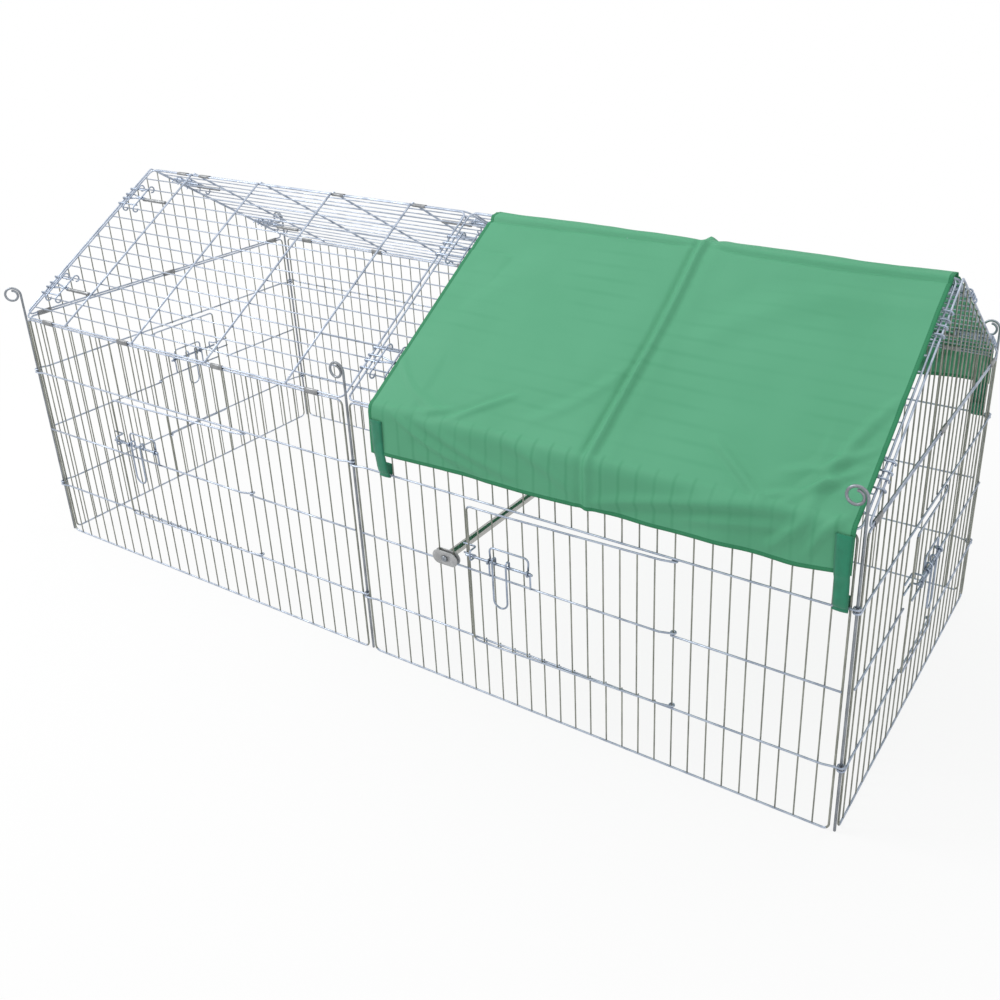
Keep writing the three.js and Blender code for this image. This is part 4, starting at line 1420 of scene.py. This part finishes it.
@dataclass
class ShadeCover:
    """One sheet of canvas over the ridge of the right bay, down both slopes and over the eaves."""

    start: float = 0.062
    end: float = 0.886
    thick: float = 0.0008
    lift: float = 0.0093
    ridge_ease: float = 0.030
    flap_left: float = 0.079
    flap_right: float = 0.065
    flap_out: float = 0.012
    crease: float = 0.486
    seam_drop: float = 0.021
    columns: int = 236
    rows: int = 150
    seed: float = 3.7
    hook_room: float = 0.0010
    shoulder: float = 0.448
    creases: tuple[Bell, ...] = (
        Bell(0.0090, 0.0, 0.0065),
        Bell(-0.0038, -0.013, 0.0060),
        Bell(0.0020, 0.026, 0.016),
    )
    seams: tuple[Bell, ...] = (Bell(0.0030, -0.009, 0.008), Bell(-0.0046, 0.0, 0.0040))
    folds: tuple[Fold, ...] = (
        Fold((0.313, 0.372), (0.222, 0.440), 0.0054, 0.006),
        Fold((0.470, 0.280), (0.357, 0.411), 0.0032, 0.011, -0.012),
        Fold((0.653, 0.367), (0.757, 0.447), 0.0048, 0.006),
        Fold((0.068, 0.352), (0.205, 0.432), 0.0042, 0.009, 0.014),
        Fold((0.140, 0.438), (0.215, 0.421), 0.0038, 0.006, 0.006),
        Fold((0.878, 0.240), (0.815, 0.446), 0.0074, 0.011, 0.010),
        Fold((0.884, 0.318), (0.765, 0.392), 0.0051, 0.008, -0.010),
        Fold((0.872, 0.360), (0.780, 0.438), 0.0054, 0.007),
        Fold((0.840, 0.392), (0.745, 0.440), 0.0042, 0.006),
        Fold((0.770, 0.070), (0.560, 0.205), 0.0048, 0.026, 0.020),
        Fold((0.880, 0.082), (0.720, 0.090), 0.0032, 0.020),
        Fold((0.250, 0.060), (0.120, 0.300), 0.0029, 0.030, 0.020),
        Fold((0.103, 0.447), (0.289, 0.520), 0.0054, 0.008, 0.010),
        Fold((0.166, 0.452), (0.352, 0.510), 0.0045, 0.009, 0.008),
        Fold((0.330, 0.448), (0.462, 0.508), 0.0038, 0.010, -0.006),
        Fold((0.494, 0.515), (0.806, 0.444), 0.0070, 0.009, -0.008),
        Fold((0.640, 0.500), (0.800, 0.470), 0.0035, 0.008),
        Fold((0.822, 0.452), (0.770, 0.506), 0.0051, 0.007),
        Fold((0.872, 0.436), (0.826, 0.500), 0.0058, 0.008, 0.006),
    )

    def drop(self, x: np.ndarray) -> np.ndarray:
        """How far the flap hangs below the eave at each place along the run."""
        share = (x - self.start) / (self.end - self.start)
        return self.flap_left + (self.flap_right - self.flap_left) * share ** 2

    def profile(self, drop: float, count: int) -> np.ndarray:
        """The cloth's middle line down one side, evenly stepped.

        Args:
            drop: How far the flap hangs.
            count: How many points the line has.

        Returns:
            Out from the middle, height, and the distance from the ridge, a row for each point.
        """
        angle = FRAME.slope_angle
        peak = FRAME.ridge + FRAME.sleeve_pitch / 2 * math.tan(angle)
        line = []
        for down in np.linspace(0, FRAME.slope_length - 0.004, 260):
            ease = max(0.0, 1 - down / self.ridge_ease)
            up = self.lift - ease * ease * self.ridge_ease * 0.12
            out = down * math.cos(angle) + up * math.sin(angle) * (1 - ease)
            line.append((out, peak - down * math.sin(angle) + up * (math.cos(angle) * (1 - ease) + ease)))
        shoulder = line[-1]
        face = FRAME.wall_plane + self.flap_out
        knee = (face, shoulder[1] - 0.003)
        below = (face, shoulder[1] - 0.022)
        for share in np.linspace(0.05, 1, 24):
            a, b, c = (1 - share) ** 2, 2 * share * (1 - share), share ** 2
            line.append(tuple(a * s + b * k + c * e for s, k, e in zip(shoulder, knee, below)))
        line.append((face, FRAME.eave - drop))
        points = np.array(line)
        steps = np.concatenate([[0], np.cumsum(np.hypot(*np.diff(points, axis=0).T))])
        even = np.linspace(0, steps[-1], count)
        places = [np.interp(even, steps, points[:, axis]) for axis in (0, 1)]
        return np.stack([*places, even], axis=1)

    def relief(self, x: np.ndarray, down: np.ndarray, length: np.ndarray, side: int) -> np.ndarray:
        """How far the cloth stands off its smooth form.

        Args:
            x: Places along the run.
            down: Distances from the ridge.
            length: Distance of the lower hem from the ridge at each place.
            side: -1 at the front and 1 at the back.

        Returns:
            The lift of each place.
        """
        place = x if side < 0 else self.start + self.end - x
        lift = np.zeros_like(x)
        for fold in self.folds:
            lift += fold.lift(place, down)
        off = x - self.crease - 0.004 * np.sin(down * 9.0) * np.clip(down / 0.1, 0, 1)
        pinched = 1 - Bell(0.45, self.shoulder, 0.012).at(down)
        fading = 1 - 0.6 * np.clip((down - self.shoulder) / 0.02, 0, 1)
        lift += pinched * fading * sum(bell.at(off) for bell in self.creases)
        slack = down - self.seam_drop - 0.003 * np.sin(x * 11.0)
        beside = 1 - Bell(1.0, 0.0, 0.03).at(off)
        lift += beside * sum(bell.at(slack) for bell in self.seams)
        hanging = np.clip((down - 0.447) / (length - 0.447), 0, 1)
        share = (x - self.start) / (self.end - self.start)
        lift += hanging * (0.0030 * np.sin(share * 44.0 + 0.7 * side) * np.clip(share * 2 - 0.9, 0, 1)
                           + 0.0022 * np.sin(share * 17.0 + 1.3))
        soft = np.array([noise.noise(Vector((px * 7, pd * 7, self.seed * side))) * 0.0022
                         + noise.noise(Vector((px * 24, pd * 24, self.seed * side + 5))) * 0.0007
                         for px, pd in zip(x.ravel(), down.ravel())]).reshape(x.shape)
        reach = np.minimum(x - self.start, self.end - x)
        lowest = self.hook_room - 0.008 * np.clip((reach - 0.08) / 0.05, 0, 1)
        return np.where(down > 0.1, np.maximum(lift + soft, lowest), lift + soft)

    def build(self, place: Matrix) -> bpy.types.Object:
        """Makes the cover in place.

        Args:
            place: From the run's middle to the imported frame.

        Returns:
            The cover's object.
        """
        xs = np.linspace(self.start, self.end, self.columns)
        drops = self.drop(xs)
        half = np.array([self.profile(float(d), self.rows) for d in drops])
        grid, cut, rim = [], [], []
        for side in (1, -1):
            out, up, down = half[:, :, 0], half[:, :, 1], half[:, :, 2]
            x = np.repeat(xs[:, None], self.rows, axis=1)
            length = np.repeat(down[:, -1:], self.rows, axis=1)
            slope_out = np.gradient(out, axis=1)
            slope_up = np.gradient(up, axis=1)
            size = np.hypot(slope_out, slope_up)
            lift = self.relief(x, down, length, side)
            lift *= np.clip(down / 0.012, 0, 1) * 0.8 + 0.2
            y = side * (out + lift * -slope_up / size)
            z = up + lift * slope_out / size
            ragged = 0.0035 * np.sin(x * 31 + side) * np.clip((x - 0.55) / 0.3, 0, 1) * (down / length) ** 8
            points = np.stack([x, y, z + ragged], axis=2)
            reach = np.minimum(x - self.start, self.end - x)
            order = slice(None, None, -1) if side > 0 else slice(1, None)
            grid.append(points[:, order])
            cut.append(np.stack([x, down], axis=2)[:, order])
            rim.append(np.stack([reach, length - down], axis=2)[:, order])
        return self.skin(np.concatenate(grid, 1), np.concatenate(cut, 1), np.concatenate(rim, 1), place)

    def skin(self, grid: np.ndarray, cut: np.ndarray, rim: np.ndarray, place: Matrix) -> bpy.types.Object:
        """Makes the cloth's mesh from its grid, with its flat places and the room to its edges as maps."""
        wide, tall, _ = grid.shape
        faces = [(i * tall + j, (i + 1) * tall + j, (i + 1) * tall + j + 1, i * tall + j + 1)
                 for i in range(wide - 1) for j in range(tall - 1)]
        shape = Shape()
        shape.add(grid.reshape(-1, 3), faces, Coat.COVER)
        cover = shape.build("shade_cover_canvas", place)
        add_map(cover, "cut", cut.reshape(-1, 2))
        add_map(cover, "rim", rim.reshape(-1, 2))
        body = cover.modifiers.new("cloth", "SOLIDIFY")
        body.thickness = self.thick
        body.offset = 0.0
        settle(cover)
        return cover

    def flat(self) -> tuple[float, float]:
        """The sheet's width and length as it was cut."""
        middle = self.profile(float(self.drop(np.array([self.crease]))[0]), self.rows)
        return self.end - self.start, 2 * float(middle[-1, 2])


@dataclass
class Strap:
    """A tape sewn to the flap's corner and looped under the wall's upper rail."""

    middle: float
    drop: float
    width: float = 0.024
    thick: float = 0.0014
    sewn: float = 0.062
    tail: float = 0.020
    outer: float = 0.0148

    def line(self) -> list[tuple[float, float]]:
        """Out from the wall and height of the tape's middle line, from its sewn end to its tail."""
        rail = FRAME.rails[2]
        out = FRAME.rail_out
        hem = FRAME.eave - self.drop
        loop = WIRES.rail / 2 + 0.0006 + self.thick
        upper = [(self.outer, hem + self.sewn), (self.outer + 0.0006, hem + self.sewn * 0.5),
                 (self.outer + 0.0003, hem + 0.004), (self.outer - 0.002, hem - 0.008),
                 (out + loop + 0.0035, rail + 0.012), (out + loop, rail + 0.003)]
        under = arc((out, rail), (loop, loop), (0, -180), 12)
        back = [(out - loop, rail + 0.004), (out - loop - 0.0006, rail + self.tail)]
        return [*upper, *under, *back]

    def shape(self) -> tuple[Shape, np.ndarray]:
        """Draws the tape.

        Returns:
            The shape, and the tape's own place of each of its points.
        """
        points = [Vector((o, z)) for o, z in self.line()]
        smooth: list[Vector] = []
        for i in range(len(points) - 1):
            before, a, b, after = (points[max(i - 1, 0)], points[i], points[i + 1],
                                   points[min(i + 2, len(points) - 1)])
            for k in range(4):
                t = k / 4
                smooth.append(0.5 * (2 * a + (b - before) * t + (2 * before - 5 * a + 4 * b - after) * t * t
                                     + (3 * a - before - 3 * b + after) * t ** 3))
        smooth.append(points[-1])
        rings, places = [], []
        gone = 0.0
        for i, point in enumerate(smooth):
            way = (smooth[min(i + 1, len(smooth) - 1)] - smooth[max(i - 1, 0)]).normalized()
            gone += (point - smooth[i - 1]).length if i else 0.0
            side = Vector((-way.y, way.x))
            share = i / (len(smooth) - 1)
            wide = self.width / 2 * (1 - 0.10 * math.sin(math.pi * share) - 0.05 * math.sin(share * 9))
            sway = 0.0012 * math.sin(share * 7)
            ring = []
            for across, face in ((-1, -1), (-0.5, -1), (0, -1), (0.5, -1), (1, -1),
                                 (1, 1), (0.5, 1), (0, 1), (-0.5, 1), (-1, 1)):
                cup = 0.0008 * (1 - across * across)
                off = point + side * (face * self.thick / 2 + cup)
                ring.append((self.middle + across * wide + sway, -off.x, off.y))
                places.append((gone, across * self.width / 2))
            rings.append(np.array(ring))
        made = Shape()
        made.rings(rings, Coat.STRAP)
        return made, np.array(places)


# ---- The run ----
class Run:
    """The whole run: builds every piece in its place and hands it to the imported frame."""

    def __init__(self, frame: dict[str, object]) -> None:
        """Reads the bodies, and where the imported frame's origin is."""
        record = frame["record"]
        bodies = record["behaviour"]["bodies"]
        self.body_of = {node: body for body, nodes in bodies.items() for node in nodes}
        self.slot_of = {part["node"]: part["material_slot"] for part in record["subparts"]}
        hinge = next(j for j in frame["joints"] if j["name"] == "door_front_right_hinge")["pos_m"]
        offset = (hinge[0] - Door.FRONT.value.hinge(FRAME.bay), hinge[1] + FRAME.wall_plane, 0)
        self.origin = Matrix.Translation(offset)

    def at(self, x: float, y: float, z: float = 0.0, turn: float = 0.0, tilt: float = 0.0) -> Matrix:
        """A place in the run: a point, a turn about Z in degrees, and a tilt about its own X in radians."""
        return (self.origin @ Matrix.Translation((x, y, z)) @ Matrix.Rotation(math.radians(turn), 4, "Z")
                @ Matrix.Rotation(tilt, 4, "X"))

    def hand_over(self, piece: bpy.types.Object, node: str) -> bpy.types.Object:
        """Lets a piece ride on its node's body and stand for the node.

        Args:
            piece: The finished piece.
            node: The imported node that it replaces.

        Returns:
            The piece.
        """
        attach(piece, self.body_of[node])
        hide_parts(node)
        log.info("%s stands for %s, %d faces", piece.name, node, len(piece.data.polygons))
        return piece

    def place(self, shape: Shape, node: str, where: Matrix, kind: str = "wires") -> bpy.types.Object:
        """Builds a shape in its place for a node."""
        return self.hand_over(shape.build(f"{node}_{kind}", where), node)

    def add_door(self, span: float, door: Doorway, label: str, where: Matrix) -> None:
        """Adds a door with its bolt and handle."""
        leaf = DoorLeaf(span, door)
        self.place(leaf.shape(), f"door_{label}", where)
        self.place(leaf.bolt(), f"bolt_{label}", where)
        self.place(leaf.handle(), f"handle_{label}", where)

    def build_sides(self) -> None:
        """Adds the long walls, the roof slopes and their hooks: the back is the front turned half round."""
        rows = FRAME.posts(FRAME.slope_length)
        gable_reach = FRAME.rod_to_roof + FRAME.rod_in
        for name, turn in (("front", 0), ("back", 180)):
            bays = ("right", "left") if turn else ("left", "right")
            side = self.at(0, 0, 0, turn)
            for i, bay in enumerate(bays):
                start = (i - 1) * FRAME.bay
                wall = side @ Matrix.Translation((start, -FRAME.wall_plane, 0))
                door = None if turn else Door.FRONT.value
                self.place(Wall(FRAME.bay, door, (2, 10, 19, 27)).shape(), f"wall_{name}_{bay}", wall)
                if door:
                    self.add_door(FRAME.bay, door, f"{name}_{bay}", wall)
                slope = (side @ Matrix.Translation((start + FRAME.rod_to_roof, -FRAME.wall_plane, FRAME.eave))
                         @ Matrix.Rotation(FRAME.slope_angle, 4, "X"))
                self.place(Slope(not turn).shape(), f"roof_{name}_{bay}", slope)
                hooks = [(bay, 0.0, 0, gable_reach)] if i == 0 else [
                    ("middle", 0.0, 0, 2 * FRAME.rod_to_roof), (bay, FRAME.roof_length, 180, gable_reach)]
                for label, x, half_turn, reach in hooks:
                    for level, y in (("lower", rows[2]), ("upper", rows[-3])):
                        spot = (slope @ Matrix.Translation((x, y, 0))
                                @ Matrix.Rotation(math.radians(half_turn), 4, "Z"))
                        self.place(RoofHook(reach).shape(), f"hook_{name}_{label}_{level}", spot)

    def build_ends(self) -> None:
        """Adds the two ends, each a wall with a door under a gable."""
        for name, sign, turn in (("right", 1, 90), ("left", -1, 270)):
            end = self.at(sign * FRAME.end_plane, -sign * FRAME.depth / 2, 0, turn)
            self.place(Wall(FRAME.depth, Door.END.value, (1, 12, 23)).shape(), f"end_wall_{name}", end)
            self.place(Gable().shape(), f"gable_{name}", end)
            self.add_door(FRAME.depth, Door.END.value, f"end_{name}", end)

    def build_rods(self) -> None:
        """Adds the six rods: their scrolls face along the run, and the front left one out from its corner."""
        for name, sign in (("left", -1), ("middle", 0), ("right", 1)):
            for side, way in (("front", -1), ("back", 1)):
                turn = 45 if (name, side) == ("left", "front") else 0
                where = self.at(sign * FRAME.bay, way * FRAME.depth / 2, 0, turn)
                self.place(CornerRod().shape(), f"rod_{side}_{name}", where)

    def build_tube(self) -> None:
        """Adds the cross tube with its plates and screws."""
        tube = CrossTube()
        self.place(tube.tube(), "cross_tube", self.origin, "plated")
        for name, way in (("front", -1), ("back", 1)):
            facing = -way * math.pi / 2
            for label, out in (("inner", tube.inner_out), ("outer", tube.outer_out)):
                spot = self.at(tube.axis.x, way * (FRAME.wall_plane + out), tube.axis.z, 0, facing)
                self.place(tube.plate_shape(), f"plate_{name}_{label}", spot, "pressed")
            head = FRAME.wall_plane + tube.outer_out + tube.plate[2] + FRAME.play
            spot = self.at(tube.axis.x, way * head, tube.axis.z, 0, facing)
            screw = tube.screw_shape().build(f"screw_{name}_turned", spot)
            tube.recess(screw, spot)
            self.hand_over(screw, f"screw_{name}")

    def build_cover(self) -> None:
        """Adds the shade cover and its four straps."""
        cover = ShadeCover()
        cloth = self.hand_over(cover.build(self.origin), "shade_cover")
        posts = FRAME.wall_posts(FRAME.bay)
        left = (posts[1] + posts[2]) / 2
        right = (posts[-1] + FRAME.bay - FRAME.rod_to_frame) / 2
        for side, way in (("front", -1), ("back", 1)):
            for label, x, drop in (("left", left, cover.flap_left), ("right", right, cover.flap_right)):
                strap = Strap(x if way < 0 else FRAME.bay - x, drop)
                where = self.at(0 if way < 0 else FRAME.bay, way * FRAME.wall_plane, 0, 0 if way < 0 else 180)
                shape, places = strap.shape()
                tape = shape.build(f"strap_{side}_{label}_tape", where)
                add_map(tape, "cut", places)
                self.hand_over(tape, f"strap_{side}_{label}")
        width, length = cover.flat()


# ---- Studio ----
@dataclass
class Studio:
    """A pale floor, plain soft light, and the camera where the photograph was taken from."""

    eye: tuple[float, float, float] = (1.2343, -1.5995, 1.2194)
    target: tuple[float, float, float] = (0.0679, 0.2429, 0.250)
    roll: float = -1.144
    lens: float = 39.32
    sensor: float = 36.0
    shift: tuple[float, float] = (-0.0727, -0.0823)
    floor_size: float = 60.0
    floor_drop: float = 0.0001
    aim: float = 0.35
    day: float = 0.52
    lamps: tuple[tuple[str, tuple[float, float, float], float, float], ...] = (
        ("key_lamp", (-2.6, -1.6, 3.0), 1.6, 78.0),
        ("fill_lamp", (3.0, -1.4, 1.8), 2.6, 18.0),
        ("top_lamp", (0.2, 0.6, 3.4), 3.0, 28.0),
    )

    def build(self) -> None:
        """Adds the floor, the light and the camera."""
        self.add_floor()
        self.add_day()
        for name, place, size, power in self.lamps:
            self.add_lamp(name, Vector(place), size, power)
        self.add_camera()

    def add_floor(self) -> None:
        """Adds the floor just under the lowest wires."""
        half = self.floor_size / 2
        low = -self.floor_drop
        corners = np.array([(-half, -half, low), (half, -half, low), (half, half, low), (-half, half, low)])
        shape = Shape()
        shape.add(corners, [(0, 1, 2, 3)], Coat.FLOOR, smooth=False)
        shape.build("floor", Matrix.Identity(4))

    def add_day(self) -> None:
        """Lights the scene evenly, and shows white behind it."""
        world = bpy.data.worlds.new("studio_day")
        world.use_nodes = True
        bpy.context.scene.world = world
        shader = Shader(world.node_tree)
        strength = seen_directly(shader).rise(0.0, 1.0) * (1.0 - self.day) + self.day
        sky = shader.node("ShaderNodeBackground", {}, {"Color": (1.0, 1.0, 1.0, 1.0), "Strength": strength})
        shader.node("ShaderNodeOutputWorld", {}, {"Surface": sky})

    def add_lamp(self, name: str, place: Vector, size: float, power: float) -> None:
        """Adds a square lamp that faces the middle of the run."""
        light = bpy.data.lights.new(name, "AREA")
        light.shape = "SQUARE"
        light.size = size
        light.energy = power
        lamp = bpy.data.objects.new(name, light)
        lamp.location = place
        lamp.rotation_euler = (Vector((0, 0, self.aim)) - place).to_track_quat("-Z", "Y").to_euler()
        bpy.context.scene.collection.objects.link(lamp)

    def add_camera(self) -> None:
        """Adds the camera with the photograph's view."""
        data = bpy.data.cameras.new("photo_camera")
        data.lens = self.lens
        data.sensor_width = self.sensor
        data.sensor_fit = "HORIZONTAL"
        data.shift_x, data.shift_y = self.shift
        data.clip_end = 100.0
        camera = bpy.data.objects.new("photo_camera", data)
        way = Vector(self.target) - Vector(self.eye)
        level = way.to_track_quat("-Z", "Y").to_matrix().to_4x4()
        camera.matrix_world = (Matrix.Translation(self.eye) @ level
                               @ Matrix.Rotation(math.radians(self.roll), 4, "Z"))
        bpy.context.scene.collection.objects.link(camera)
        bpy.context.scene.camera = camera


def main() -> None:
    """Builds the run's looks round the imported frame."""
    logging.basicConfig(level=logging.INFO, format="%(name)s: %(message)s")
    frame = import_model()
    bpy.context.scene.view_settings.view_transform = "Standard"
    Studio().build()
    run = Run(frame)
    run.build_sides()
    run.build_ends()
    run.build_rods()
    run.build_tube()
    run.build_cover()


if __name__ == "__main__":
    main()
